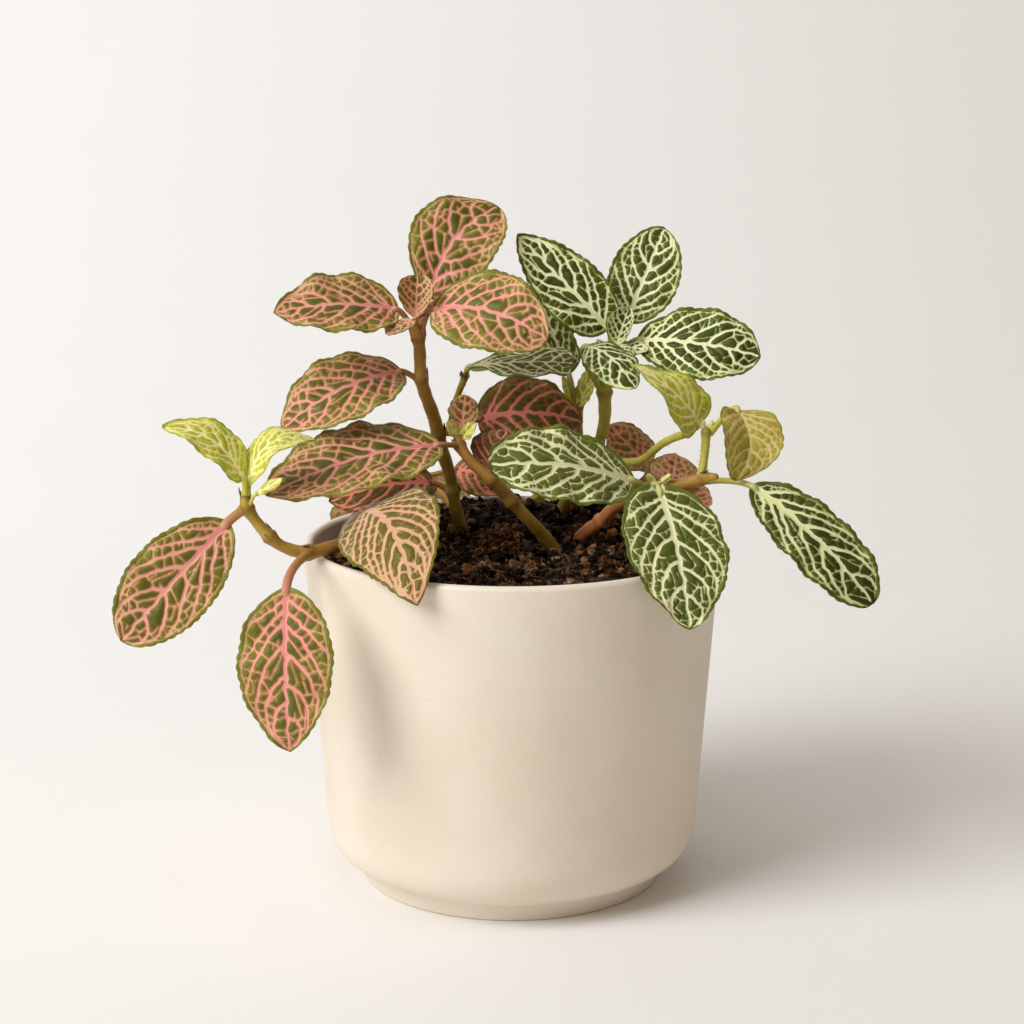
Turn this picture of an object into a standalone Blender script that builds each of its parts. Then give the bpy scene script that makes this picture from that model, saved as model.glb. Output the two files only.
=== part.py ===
"""Potted nerve plant: a pink-veined and a white-veined Fittonia in one round ceramic pot.

Units in this file are millimetres until a mesh is made; MM turns them into metres.
The origin is the middle of the pot's underside, +Z is up and -Y is the front of the plant.
"""
import math

import bmesh
import bpy
from mathutils import Vector, noise

MM = 0.001
GAP = 0.35                  # clearance kept between touching pieces

# Pot
POT_RADIUS = 60.0           # outside, at the rim
POT_HEIGHT = 100.0
POT_WALL = 3.0
POT_WAIST_RADIUS = 54.3     # outside, where the straight wall ends above the shoulder
POT_WAIST_HEIGHT = 19.0
POT_FLOOR = 9.0             # height of the inside floor
FOOT_RADIUS = 45.8          # low foot, at its top
FOOT_BASE_RADIUS = 43.9     # low foot, on the table
FOOT_HEIGHT = 5.2
FOOT_CHAMFER = 0.8
SHOULDER_REACH, SHOULDER_DROP = 12.0, 13.5      # half axes of the rounded corner above the foot
SHOULDER_TURN = 70.0        # degrees of that corner before it meets the foot
SHOULDER_FULLNESS = 0.833   # 1 for an ellipse, less for a squarer corner
INSIDE_CORNER = 12.0        # radius between the inside floor and wall
POT_STEPS = 48

# Soil
SOIL_HEIGHT = 91.0          # at the wall
SOIL_DOME = 1.6             # extra height in the middle
SOIL_BUMPS = 1.1
SOIL_HEAP = 3.6             # it is heaped towards the back
SOIL_HEAP_START, SOIL_HEAP_END = 8.0, 46.0
SOIL_BUMP_SPACING = 9.0
SOIL_RINGS = 8
SOIL_STEPS = 32
ROOTED = 10.0               # how deep a stem end stands in the soil
HOLE_CLEARANCE = 0.85       # around a stem end
HOLE_ABOVE = 8.0            # how far a hole's cutter reaches past the soil's surface

# Leaves and stems
BLADE_THICKNESS = 0.6
PETIOLE_THICKNESS = 1.7
PETIOLE_HALF_WIDTH = 0.9
PETIOLE_BEND = 0.45         # how far back from the blade a petiole keeps the blade's heading
TIP_HALF_WIDTH = 0.6
BLADE_ROWS = (0.0, 0.1, 0.28, 0.48, 0.68, 0.86, 1.0)
BLADE_COLUMNS = 4
BLADE_POINTEDNESS = 1.15    # larger makes both ends of a blade more pointed
STEM_STEP = 5.5

MATERIALS = {
    "ceramic": ((0.78, 0.69, 0.58), 0.55),
    "soil": ((0.045, 0.026, 0.016), 0.95),
    "stem": ((0.20, 0.17, 0.055), 0.5),
    "pink_leaf": ((0.20, 0.15, 0.07), 0.42),
    "white_leaf": ((0.10, 0.17, 0.06), 0.38),
    "young_leaf": ((0.42, 0.46, 0.13), 0.45),
}

# Stem routes, from the soil (or the parent stem) to the tip: x, y, z, radius.
# A rooted route is carried on down into the soil.
STEMS = {
    "stem_pink_main": dict(rooted=True, route=(
        (-15, 25, 94, 2.13), (-17.5, 22, 109, 1.87), (-21.5, 18, 126.5, 2.04), (-26, 12, 144, 1.87),
        (-27, 8.5, 157, 1.79), (-27.5, 7, 160.5, 1.28))),
    "stem_pink_fork": dict(route=(
        (-18.6, 16.6, 129.2, 1.02), (-16, 14, 137.5, 0.94), (-13.8, 10.4, 145.5, 1.02))),
    "stem_pink_low": dict(rooted=True, route=(
        (12, 13, 94, 2.21), (6, 8, 102, 1.96), (0, 5, 109.5, 1.87), (-6, 2, 116.5, 1.96),
        (-11.5, 3.5, 121.5, 1.62), (-15, 5.5, 126, 1.62), (-15, 7, 128, 1.19))),
    "stem_trailing_left": dict(rooted=True, route=(
        (-35, -13, 94, 1.87), (-41, -18, 100, 1.79), (-47, -23, 103, 1.7), (-56.5, -30, 102.7, 1.96),
        (-62.5, -31.5, 104.3, 1.62), (-66.5, -32, 107.5, 1.79), (-70, -32, 111.5, 1.53),
        (-72.5, -32, 115.5, 1.7), (-73, -31, 119, 1.11))),
    "stem_trailing_right": dict(rooted=True, route=(
        (20, 21, 94, 2.21), (26, 12, 102.5, 2.04), (32.5, 2, 110, 1.96), (39.5, -8, 115.5, 2.25),
        (47, -12, 118, 1.53), (53.5, -15, 120.5, 1.7), (57, -16.5, 121, 1.19))),
    "shoot_right": dict(route=(
        (53.2, -15, 123.2, 1.28), (53.8, -14.6, 128, 1.19), (54.5, -14, 133, 1.28))),
    "stem_white_main": dict(rooted=True, route=(
        (12, 42, 94, 1.87), (17, 38, 103, 1.79), (24.5, 32, 115, 1.7), (27, 28, 126.5, 1.7),
        (27.5, 26, 138, 2.04), (28.2, 24, 146.5, 1.7), (29.5, 22, 151, 1.19))),
    "stem_white_side": dict(route=(
        (26, 28.6, 115.6, 1.11), (37, 10, 120.8, 1.19), (45, -3, 129.3, 1.19), (49.6, -7.6, 132.2, 1.19))),
    "stem_behind": dict(rooted=True, route=(
        (21, 45, 94, 1.62), (22, 41, 108, 1.45), (20.5, 34.5, 122.5, 1.36), (19.5, 32, 133, 1.53))),
    "stem_pink_right": dict(rooted=True, route=(
        (33, 36, 94, 1.7), (36, 34, 103, 1.53), (40, 31.5, 109.5, 1.53), (45, 28, 111.5, 1.36))),
    "stem_back_left": dict(rooted=True, route=(
        (-14, 39, 94, 1.79), (-20, 47, 101.5, 1.62), (-27, 57, 106, 1.79), (-33, 67, 106, 1.62),
        (-37, 74, 102.5, 1.11))),
    "stem_back_right": dict(rooted=True, route=(
        (2, 43, 94, 1.79), (8, 51, 101.5, 1.62), (15, 60, 106, 1.79), (21, 69, 105.5, 1.62),
        (25, 76, 101.5, 1.11))),
}


def leaf(stem, node, base, tip, width, face, **shape):
    """One leaf: the stem it grows on and the route point there, the ends of its blade, and its shape.

    face is the way the upper side looks. belly is where along it the blade is widest, arch raises
    its middle, sway bends it to its left, and fold lifts its two halves (degrees, as one number or
    as left and right).
    """
    entry = dict(stem=stem, node=node, base=base, tip=tip, width=width, face=face,
                 belly=0.4, arch=0.0, sway=0.0, fold=8.0, petiole=1.0, kind="pink_leaf")
    entry.update(shape)
    return entry


LEAVES = {
    # Pink-veined plant, main stem
    "leaf_pink_top_back": leaf(
        "stem_pink_main", 4, (-23.5, 13, 169), (-4.1, 24, 193.1), 26, (0, -1, 0.35), belly=0.5, arch=1.5,
        sway=4, fold=10),
    "leaf_pink_top_left": leaf(
        "stem_pink_main", 4, (-33.5, 6, 165.5), (-67, -4, 165.5), 23, (0.1, -0.7, 0.8), arch=3),
    "leaf_pink_top_right": leaf(
        "stem_pink_main", 4, (-21.5, 3, 166), (10, -10, 158.7), 25.5, (0, -0.9, 0.5), belly=0.45, arch=3,
        sway=2.5, fold=6),
    "leaf_pink_middle_left": leaf(
        "stem_pink_main", 3, (-32.5, 9, 147), (-65, -6, 133), 25, (-0.2, -0.75, 0.75), belly=0.45,
        arch=4.5, fold=4),
    "leaf_pink_dark_left": leaf(
        "stem_pink_main", 1, (-24, 23, 111.5), (-54, 18, 106.5), 23, (0, -0.6, 0.8), arch=3),
    "leaf_pink_folded": leaf(
        "stem_pink_fork", 2, (-11.8, 8.6, 148.6), (17.7, 5, 150), 20, (0, -0.15, 1), belly=0.66, arch=1,
        fold=(12, -4)),
    # Pink-veined plant, low stem
    "leaf_pink_front_left": leaf(
        "stem_pink_low", 5, (-21.5, -2, 127.5), (-68, -26, 117.5), 29, (0, -0.5, 0.9), belly=0.45, arch=4,
        fold=5),
    "leaf_pink_small_upright": leaf(
        "stem_pink_low", 6, (-14.5, 7, 131), (-13.5, 7, 140.5), 9, (0, -1, 0.2), belly=0.5, fold=10),
    "leaf_pink_dark_right": leaf(
        "stem_pink_low", 6, (-9, 17, 132), (21, 23, 129.5), 25, (0, -0.8, 0.6), arch=5, fold=2),
    "leaf_pink_dark_lower": leaf(
        "stem_pink_low", 3, (-6.5, 7.2, 118.2), (-1.5, 8, 130), 16, (-0.35, -1, 0.1), belly=0.45,
        arch=1, fold=6),
    # Pink-veined plant, trailing stem
    "leaf_pale_over_rim": leaf(
        "stem_trailing_left", 2, (-41.5, -23, 113), (-25, -61.5, 95.5), 30, (-0.2, -0.55, 0.75), belly=0.33,
        arch=8, sway=3.5, fold=(0, -25)),
    "leaf_pink_hanging": leaf(
        "stem_trailing_left", 3, (-60.5, -50, 96.4), (-59, -64, 56.1), 26.5, (-0.15, -0.95, 0.2), belly=0.44,
        arch=3, fold=4),
    "leaf_pink_far_left": leaf(
        "stem_trailing_left", 7, (-78.5, -33, 111), (-106.5, -42, 80.5), 24.5, (0.25, -0.85, 0.5), belly=0.5,
        arch=3, fold=5),
    "leaf_young_left": leaf(
        "stem_trailing_left", 8, (-74, -31, 124.8), (-94.5, -34, 138.6), 12.5, (0.1, -0.75, 0.65), belly=0.36,
        arch=2.5, sway=-3, fold=20, petiole=0.8, kind="young_leaf"),
    "leaf_young_right": leaf(
        "stem_trailing_left", 8, (-71.8, -30, 123.6), (-54.4, -25, 133.4), 11, (-0.3, -0.6, 0.7), belly=0.35,
        arch=6, sway=1.5, fold=16, petiole=0.8, kind="young_leaf"),
    "leaf_young_small": leaf(
        "stem_trailing_left", 7, (-69.5, -34, 120), (-62, -37, 125), 3, (0, -0.7, 0.7), petiole=0.6,
        kind="young_leaf"),
    # Pink-veined plant, back right
    "leaf_pink_right_upper": leaf(
        "stem_pink_right", 2, (40.5, 35, 115), (29.5, 40, 126), 14, (0.3, -0.9, 0.4)),
    "leaf_pink_right_middle": leaf(
        "stem_pink_right", 3, (47.5, 24, 111), (49.5, 31, 118.5), 15, (0.1, -0.9, 0.5)),
    "leaf_pink_right_corner": leaf(
        "stem_pink_right", 3, (50, 26, 108.5), (59.5, 22, 105), 10, (0.2, -0.7, 0.7)),
    # White-veined plant, main stem
    "leaf_white_top_left": leaf(
        "stem_white_main", 5, (27.5, 21, 158.5), (1.5, 26, 184.5), 19.5, (-0.35, -0.75, 0.55), belly=0.36, arch=2,
        fold=10, kind="white_leaf"),
    "leaf_white_top_back": leaf(
        "stem_white_main", 5, (34, 26, 160), (45, 34, 186), 21, (0, -1, 0.4), belly=0.45, arch=1,
        kind="white_leaf"),
    "leaf_white_top_right": leaf(
        "stem_white_main", 5, (37.5, 18, 155), (71.5, 8, 151.5), 23, (0, -0.85, 0.55), belly=0.5, arch=3,
        fold=4, kind="white_leaf"),
    "leaf_white_curled": leaf(
        "stem_white_main", 4, (21.5, 11, 154), (35, -4, 144), 15, (0, -0.6, 0.8), belly=0.5, arch=4,
        fold=-18, kind="white_leaf"),
    "leaf_white_behind": leaf(
        "stem_behind", 3, (16.5, 29, 144), (8.5, 26, 165), 13, (0.3, -0.9, 0.3), fold=12,
        kind="white_leaf"),
    # White-veined plant, trailing stem
    "leaf_white_front": leaf(
        "stem_trailing_right", 3, (33.5, -13, 119.6), (-5.5, -34, 129), 25, (-0.1, -0.75, 0.65), belly=0.5,
        arch=3, fold=4, kind="white_leaf"),
    "leaf_white_over_rim": leaf(
        "stem_trailing_right", 3, (40.8, -28, 119), (47.5, -56, 87.5), 29.5, (0.3, -0.85, 0.4), arch=3,
        fold=3, kind="white_leaf"),
    "leaf_white_far_right": leaf(
        "stem_trailing_right", 5, (67.5, -22, 119), (98.5, -40, 90.5), 20.5, (-0.1, -0.6, 0.75), belly=0.55,
        arch=4, fold=4, kind="white_leaf"),
    "leaf_young_twisted": leaf(
        "stem_white_side", 3, (52.5, -11, 135.5), (32.5, -16, 153), 16.5, (0.3, -0.7, 0.6), belly=0.23, arch=3,
        fold=10, petiole=0.8, kind="young_leaf"),
    "leaf_young_nodding": leaf(
        "shoot_right", 2, (61.4, -14, 139), (58, -22, 121.2), 21, (0, -0.95, 0.3), belly=0.4, arch=2,
        sway=6, fold=(-5, 55), petiole=0.8, kind="young_leaf"),
    # Back of the pot
    "leaf_back_1": leaf(
        "stem_back_left", 2, (-33, 55, 109.5), (-51, 62, 103), 21, (-0.4, 0.1, 0.9), arch=3),
    "leaf_back_2": leaf(
        "stem_back_left", 2, (-17.5, 58, 108.5), (-1, 51.5, 102.5), 17, (0.1, -0.7, 0.7), arch=3),
    "leaf_back_3": leaf(
        "stem_back_left", 3, (-41, 70, 102), (-53, 83, 73), 23, (-0.6, 0.75, 0.4), arch=4),
    "leaf_back_4": leaf(
        "stem_back_left", 3, (-27.5, 75, 103), (-22, 90, 73), 24, (0.2, 0.9, 0.4), arch=4),
    "leaf_back_5": leaf(
        "stem_back_right", 2, (14, 63, 109), (3, 61, 104), 14, (-0.1, -0.4, 0.9), arch=3, kind="white_leaf"),
    "leaf_back_6": leaf(
        "stem_back_right", 2, (22, 57, 110), (46, 64, 105), 22, (0.3, 0.1, 0.9), arch=3, kind="white_leaf"),
    "leaf_back_7": leaf(
        "stem_back_right", 3, (29, 69, 101.5), (45, 80, 74), 22, (0.5, 0.75, 0.4), arch=4,
        kind="white_leaf"),
    "leaf_back_8": leaf(
        "stem_back_right", 4, (23, 82, 99), (22, 94, 68), 20, (0, 0.95, 0.3), arch=3, kind="white_leaf"),
    "leaf_back_9": leaf(
        "stem_pink_right", 2, (46.5, 36, 107.5), (62, 46, 88), 20, (0.7, 0.3, 0.6), arch=3),
}

# Buds: middle, radii, lean of the long axis
BUDS = {
    "bud_pink_top": dict(at=(-28, 4.5, 167.6), radii=(4.2, 3.4, 6), axis=(-0.05, -0.15, 1), kind="pink_leaf"),
    "bud_white_top": dict(at=(31.5, 18, 157.5), radii=(4, 3.4, 5.2), axis=(0.15, -0.2, 1), kind="white_leaf"),
    "bud_trailing_right": dict(at=(41.2, -12.6, 120.3), radii=(2, 2, 2.4), axis=(0, -0.4, 1),
                               kind="young_leaf"),
    "bud_shoot_right": dict(at=(54.6, -14, 135.3), radii=(1.1, 1.1, 1.8), axis=(0.1, 0, 1),
                            kind="young_leaf"),
}


def new_collection(name):
    collection = bpy.data.collections.new(name)
    bpy.context.scene.collection.children.link(collection)
    return collection


def make_material(name):
    (red, green, blue), roughness = MATERIALS[name]
    material = bpy.data.materials.new(name)
    material.use_nodes = True
    shader = material.node_tree.nodes["Principled BSDF"]
    shader.inputs["Base Color"].default_value = (red, green, blue, 1.0)
    shader.inputs["Roughness"].default_value = roughness
    shader.inputs["Metallic"].default_value = 0.0
    return material


def add_object(name, data, collection, material=None):
    thing = bpy.data.objects.new(name, data)
    collection.objects.link(thing)
    if material:
        data.materials.append(material)
    return thing


def arc(centre_r, centre_z, radius, start, end, count):
    """Points of an arc in the r-z plane, from start to end in degrees."""
    points = []
    for i in range(count + 1):
        angle = math.radians(start + (end - start) * i / count)
        points.append((centre_r + radius * math.cos(angle), centre_z + radius * math.sin(angle)))
    return points


def wall_radius(height):
    """Outside radius of the pot's straight wall."""
    share = (height - POT_WAIST_HEIGHT) / (POT_HEIGHT - POT_WAIST_HEIGHT)
    return POT_WAIST_RADIUS + share * (POT_RADIUS - POT_WAIST_RADIUS)


def floor_corner(clearance):
    """The rounded corner between the pot's inside floor and wall, drawn in by a clearance."""
    centre_r = POT_WAIST_RADIUS - POT_WALL - INSIDE_CORNER
    return arc(centre_r, POT_FLOOR + INSIDE_CORNER, INSIDE_CORNER - clearance, -90, 0, 4)


def pot_profile():
    """Half outline of the pot: inside floor, inside wall, lip, outside wall, shoulder, foot."""
    lip = POT_WALL / 2
    profile = [(0.0, POT_FLOOR)] + floor_corner(0.0)
    profile += arc(POT_RADIUS - lip, POT_HEIGHT - lip, lip, 180, 0, 6)
    for r, z in arc(0, 0, 1, 0, -SHOULDER_TURN, 6):
        out = SHOULDER_REACH * (1 - r ** SHOULDER_FULLNESS)
        down = SHOULDER_DROP * abs(z) ** SHOULDER_FULLNESS
        profile.append((POT_WAIST_RADIUS - out, POT_WAIST_HEIGHT - down))
    profile.append((FOOT_RADIUS, FOOT_HEIGHT))
    profile.append((FOOT_BASE_RADIUS, FOOT_CHAMFER))
    profile.append((FOOT_BASE_RADIUS - FOOT_CHAMFER, 0.0))
    profile.append((0.0, 0.0))
    return profile


def make_pot(collection, material):
    mesh = bpy.data.meshes.new("pot")
    points = [(r * MM, 0.0, z * MM) for r, z in pot_profile()]
    mesh.from_pydata(points, [(i, i + 1) for i in range(len(points) - 1)], [])
    pot = add_object("pot", mesh, collection, material)
    turn = pot.modifiers.new("turn", "SCREW")
    turn.axis = "Z"
    turn.angle = math.tau
    turn.steps = POT_STEPS
    turn.render_steps = POT_STEPS
    turn.use_merge_vertices = True
    turn.merge_threshold = 0.00001
    turn.use_smooth_shade = True
    weld = pot.modifiers.new("weld", "WELD")
    weld.merge_threshold = 0.00001
    return pot


def soil_top(x, y, radius):
    """Height of the soil's surface at x, y; radius is how far out it reaches."""
    inward = 1.0 - (x * x + y * y) / (radius * radius)
    bump = noise.noise(Vector((x, y, 0.0)) / SOIL_BUMP_SPACING)
    heap = min(1.0, max(0.0, (y - SOIL_HEAP_START) / (SOIL_HEAP_END - SOIL_HEAP_START)))
    heap = SOIL_HEAP * heap * heap * (3.0 - 2.0 * heap)
    return SOIL_HEIGHT + SOIL_DOME * max(0.0, inward) + SOIL_BUMPS * bump * min(1.0, max(0.0, inward * 5.0)) + heap


def make_soil(collection, material):
    """A plug of potting soil that fills the pot, flat below and uneven on top."""
    top_radius = wall_radius(SOIL_HEIGHT) - POT_WALL - GAP
    outline = [(0.0, POT_FLOOR + GAP)] + floor_corner(GAP)
    outline += [(top_radius * (SOIL_RINGS - i) / SOIL_RINGS, SOIL_HEIGHT) for i in range(SOIL_RINGS + 1)]
    form = bmesh.new()
    verts = [form.verts.new((r, 0.0, z)) for r, z in outline]
    edges = [form.edges.new(pair) for pair in zip(verts, verts[1:])]
    bmesh.ops.spin(form, geom=verts + edges, cent=(0, 0, 0), axis=(0, 0, 1), angle=math.tau, steps=SOIL_STEPS,
                   use_merge=False)
    bmesh.ops.remove_doubles(form, verts=form.verts, dist=0.001)
    for vert in form.verts:
        if vert.co.z > SOIL_HEIGHT - 0.01:
            vert.co.z = soil_top(vert.co.x, vert.co.y, top_radius)
    bmesh.ops.recalc_face_normals(form, faces=form.faces)
    bmesh.ops.triangulate(form, faces=form.faces)
    bmesh.ops.scale(form, vec=(MM, MM, MM), verts=form.verts)
    mesh = bpy.data.meshes.new("soil")
    form.to_mesh(mesh)
    form.free()
    return add_object("soil", mesh, collection, material)


def drill_soil(soil, stems, cutters):
    """A blind hole in the soil for the foot of each rooted stem."""
    for name, entry in stems.items():
        if not entry.get("rooted"):
            continue
        foot, direction = stem_foot(entry["route"])
        depth = ROOTED + HOLE_ABOVE
        middle = foot + direction * (depth / 2 - GAP)
        bpy.ops.mesh.primitive_cylinder_add(
            vertices=12, radius=(entry["route"][0][3] + HOLE_CLEARANCE) * MM, depth=depth * MM,
            location=middle * MM, rotation=direction.to_track_quat("Z", "Y").to_euler())
        cutter = bpy.context.object
        cutter.name = "hole_" + name
        for owner in list(cutter.users_collection):
            owner.objects.unlink(cutter)
        cutters.objects.link(cutter)
        cutter.hide_render = True
        cutter.display_type = "WIRE"
        cut = soil.modifiers.new(cutter.name, "BOOLEAN")
        cut.operation = "DIFFERENCE"
        cut.solver = "EXACT"
        cut.object = cutter


def stem_foot(route):
    """Where a rooted stem ends in the soil, and the direction it grows in from there."""
    start = Vector(route[0][:3])
    direction = (Vector(route[1][:3]) - start).normalized()
    direction = (direction + Vector((0, 0, 0.6))).normalized()
    return start - direction * ROOTED, direction


def smooth_route(points):
    """A smooth curve through the route's points, as (place, radius) pairs a few millimetres apart."""
    places = [Vector(point[:3]) for point in points]
    radii = [point[3] for point in points]
    ends = [2 * places[0] - places[1]] + places + [2 * places[-1] - places[-2]]
    out = []
    for i in range(len(places) - 1):
        before, start, end, after = ends[i:i + 4]
        count = max(1, round((end - start).length / STEM_STEP))
        for k in range(count):
            t = k / count
            place = 0.5 * (2 * start + (end - before) * t + (2 * before - 5 * start + 4 * end - after) * t * t
                           + (3 * start - before - 3 * end + after) * t ** 3)
            out.append((place, radii[i] + (radii[i + 1] - radii[i]) * t))
    out.append((places[-1], radii[-1]))
    return out


def make_stem(name, entry, collection, material):
    route = list(entry["route"])
    if entry.get("rooted"):
        foot, _ = stem_foot(route)
        route.insert(0, (*foot, route[0][3]))
    points = smooth_route(route)
    curve = bpy.data.curves.new(name, "CURVE")
    curve.dimensions = "3D"
    curve.bevel_depth = MM
    curve.bevel_resolution = 2
    curve.use_fill_caps = True
    spline = curve.splines.new("POLY")
    spline.points.add(len(points) - 1)
    for point, (place, radius) in zip(spline.points, points):
        point.co = (*(place * MM), 1.0)
        point.radius = radius
    return add_object(name, curve, collection, material)


def blade_half_width(t, belly):
    """Half width of a blade at t along it, as a share of the widest half width, which is at belly."""
    rise = BLADE_POINTEDNESS * belly
    fall = BLADE_POINTEDNESS - rise
    return t ** rise * (1 - t) ** fall / (belly ** rise * (1 - belly) ** fall)


def leaf_frame(entry):
    """Blade base, chord, its length, and the way the upper side looks."""
    base = Vector(entry["base"])
    chord = Vector(entry["tip"]) - base
    length = chord.length
    chord.normalize()
    face = Vector(entry["face"])
    face = (face - chord * face.dot(chord)).normalized()
    return base, chord, length, face


def petiole_start(entry, base):
    """A point just clear of the stem, on the side that the leaf grows from."""
    route = STEMS[entry["stem"]]["route"]
    place = entry["node"]
    node = Vector(route[place][:3])
    along = (Vector(route[min(place + 1, len(route) - 1)][:3]) - Vector(route[place - 1][:3])).normalized()
    heading = (base - node).normalized()
    lean = heading.dot(along)
    outward = (heading - along * lean).normalized()
    return node + outward * (route[place][3] + GAP + abs(lean) * PETIOLE_THICKNESS / 2)


def leaf_point(entry, along, across):
    """A point of the leaf's middle surface; along is -1 to 0 on the petiole and 0 to 1 on the blade."""
    base, chord, length, face = leaf_frame(entry)
    arch = entry["arch"]
    if along < 0:
        start = petiole_start(entry, base)
        heading = (chord * length + face * 4 * arch).normalized()
        bend = base - heading * (base - start).length * PETIOLE_BEND
        t = along + 1
        place = start * (1 - t) ** 2 + bend * 2 * t * (1 - t) + base * t * t
        side = face.cross(chord)
        return place + side * (across * entry["petiole"] * PETIOLE_HALF_WIDTH)
    place = base + chord * (length * along) + face * (arch * 4 * along * (1 - along))
    place = place + face.cross(chord) * (entry["sway"] * 4 * along * (1 - along))
    narrowest = PETIOLE_HALF_WIDTH * entry["petiole"] if along < 0.5 else TIP_HALF_WIDTH
    half = max(entry["width"] / 2 * blade_half_width(along, entry["belly"]), narrowest)
    fold = entry["fold"]
    if not isinstance(fold, (int, float)):
        fold = fold[0] if across > 0 else fold[1]
    lift = math.radians(fold)
    side = face.cross(chord)
    return place + side * (half * across * math.cos(lift)) + face * (half * abs(across) * math.sin(lift))


def make_leaf(name, entry, collection, material):
    """Petiole and blade in one sheet, thickened: thick along the petiole and thin over the blade."""
    rows = [-1.0, -0.5] + list(BLADE_ROWS)
    form = bmesh.new()
    bmesh.ops.create_grid(form, x_segments=len(rows) - 1, y_segments=BLADE_COLUMNS, size=0.5)
    form.verts.ensure_lookup_table()
    petiole_verts = []
    for vert in form.verts:
        row = round((vert.co.x + 0.5) * (len(rows) - 1))
        if row < 2:
            petiole_verts.append(vert.index)
        vert.co = leaf_point(entry, rows[row], vert.co.y * 2) * MM
    mesh = bpy.data.meshes.new(name)
    form.to_mesh(mesh)
    form.free()
    mesh.shade_smooth()
    blade = add_object(name, mesh, collection, material)
    group = blade.vertex_groups.new(name="petiole")
    group.add(petiole_verts, 1.0, "REPLACE")
    shell = blade.modifiers.new("thickness", "SOLIDIFY")
    shell.thickness = PETIOLE_THICKNESS * entry["petiole"] * MM
    shell.offset = 0.0
    shell.vertex_group = "petiole"
    shell.thickness_vertex_group = BLADE_THICKNESS / (PETIOLE_THICKNESS * entry["petiole"])
    return blade


def make_bud(name, entry, collection, material):
    """The closed cluster of unopened leaves at a growing tip."""
    form = bmesh.new()
    bmesh.ops.create_uvsphere(form, u_segments=10, v_segments=7, radius=1.0)
    x, y, z = entry["radii"]
    bmesh.ops.scale(form, vec=(x * MM, y * MM, z * MM), verts=form.verts)
    mesh = bpy.data.meshes.new(name)
    form.to_mesh(mesh)
    form.free()
    mesh.shade_smooth()
    bud = add_object(name, mesh, collection, material)
    bud.location = Vector(entry["at"]) * MM
    bud.rotation_euler = Vector(entry["axis"]).to_track_quat("Z", "Y").to_euler()
    return bud


def main():
    for thing in list(bpy.data.objects):
        bpy.data.objects.remove(thing)
    plant = new_collection("potted_nerve_plant")
    cutters = new_collection("cutters")
    materials = {name: make_material(name) for name in MATERIALS}
    make_pot(plant, materials["ceramic"])
    soil = make_soil(plant, materials["soil"])
    drill_soil(soil, STEMS, cutters)
    for name, entry in STEMS.items():
        make_stem(name, entry, plant, materials["stem"])
    for name, entry in LEAVES.items():
        make_leaf(name, entry, plant, materials[entry["kind"]])
    for name, entry in BUDS.items():
        make_bud(name, entry, plant, materials[entry["kind"]])


main()
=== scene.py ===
# Potted nerve plant: a pink-veined and a white-veined Fittonia in a round cream pot.
# Lengths are in millimetres up to the moment a mesh is made; mm turns them into metres.
import math
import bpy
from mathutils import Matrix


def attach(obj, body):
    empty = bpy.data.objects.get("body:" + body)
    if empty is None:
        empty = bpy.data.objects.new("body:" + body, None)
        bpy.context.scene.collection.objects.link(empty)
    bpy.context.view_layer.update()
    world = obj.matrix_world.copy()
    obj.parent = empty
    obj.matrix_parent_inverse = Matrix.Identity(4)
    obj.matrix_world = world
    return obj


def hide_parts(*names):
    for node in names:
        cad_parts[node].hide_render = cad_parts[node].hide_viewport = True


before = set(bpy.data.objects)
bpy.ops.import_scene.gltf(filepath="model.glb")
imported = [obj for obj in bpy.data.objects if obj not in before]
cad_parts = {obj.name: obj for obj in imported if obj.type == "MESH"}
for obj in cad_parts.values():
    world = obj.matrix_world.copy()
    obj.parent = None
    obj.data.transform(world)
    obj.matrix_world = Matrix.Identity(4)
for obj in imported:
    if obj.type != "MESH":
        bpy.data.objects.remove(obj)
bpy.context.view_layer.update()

import zlib

import bpy
import numpy as np
from mathutils import Vector, noise

mm = 0.001


def seedOf(name):
    return np.random.default_rng(zlib.crc32(name.encode()))


def unit(v):
    v = np.asarray(v, float)
    return v / np.linalg.norm(v, axis=-1, keepdims=True)


def ease(x, low, high):
    x = np.clip((x - low) / (high - low), 0, 1)
    return x * x * (3 - 2 * x)


def travel(line):
    # distance along a line to each of its points
    return np.concatenate([[0], np.cumsum(np.linalg.norm(np.diff(line, axis=0), axis=1))])


def paint(*colour):
    # a colour as it shows on a screen, 0 to 255, turned into the linear light that shaders use
    parts = [part / 255 for part in colour]
    return (*[part / 12.92 if part <= 0.04045 else ((part + 0.055) / 1.055) ** 2.4 for part in parts], 1.0)


def addThing(name, data, **settings):
    thing = bpy.data.objects.new(name, data)
    for key, value in settings.items():
        setattr(thing, key, value)
    bpy.context.scene.collection.objects.link(thing)
    return thing


def meshPiece(name, points, faces, material, values=None, smooth=True):
    # points in mm; values are numbers per point that the material reads by name
    mesh = bpy.data.meshes.new(name)
    mesh.from_pydata((np.asarray(points) * mm).tolist(), [], faces)
    for key, numbers in (values or {}).items():
        layer = mesh.attributes.new(key, "FLOAT", "POINT")
        layer.data.foreach_set("value", np.ascontiguousarray(numbers, np.float32))
    mesh.validate()
    if smooth:
        mesh.shade_smooth()
    mesh.materials.append(material)
    return addThing(name, mesh)


class Parts:
    # gathers several meshes and their numbers into one
    def __init__(self, *keys):
        self.points, self.faces, self.count = [], [], 0
        self.values = {key: [] for key in keys}

    def add(self, points, faces, **numbers):
        self.points.append(points)
        self.faces += [[i + self.count for i in face] for face in faces]
        self.count += len(points)
        for key, column in self.values.items():
            column.append(np.broadcast_to(np.asarray(numbers.get(key, 0.0), float), (len(points),)))

    def piece(self, name, material, smooth=True):
        values = {key: np.concatenate(column) for key, column in self.values.items()}
        return meshPiece(name, np.concatenate(self.points), self.faces, material, values, smooth)


def settle(piece, slot, node):
    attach(piece, "root")
    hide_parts(node)


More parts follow.
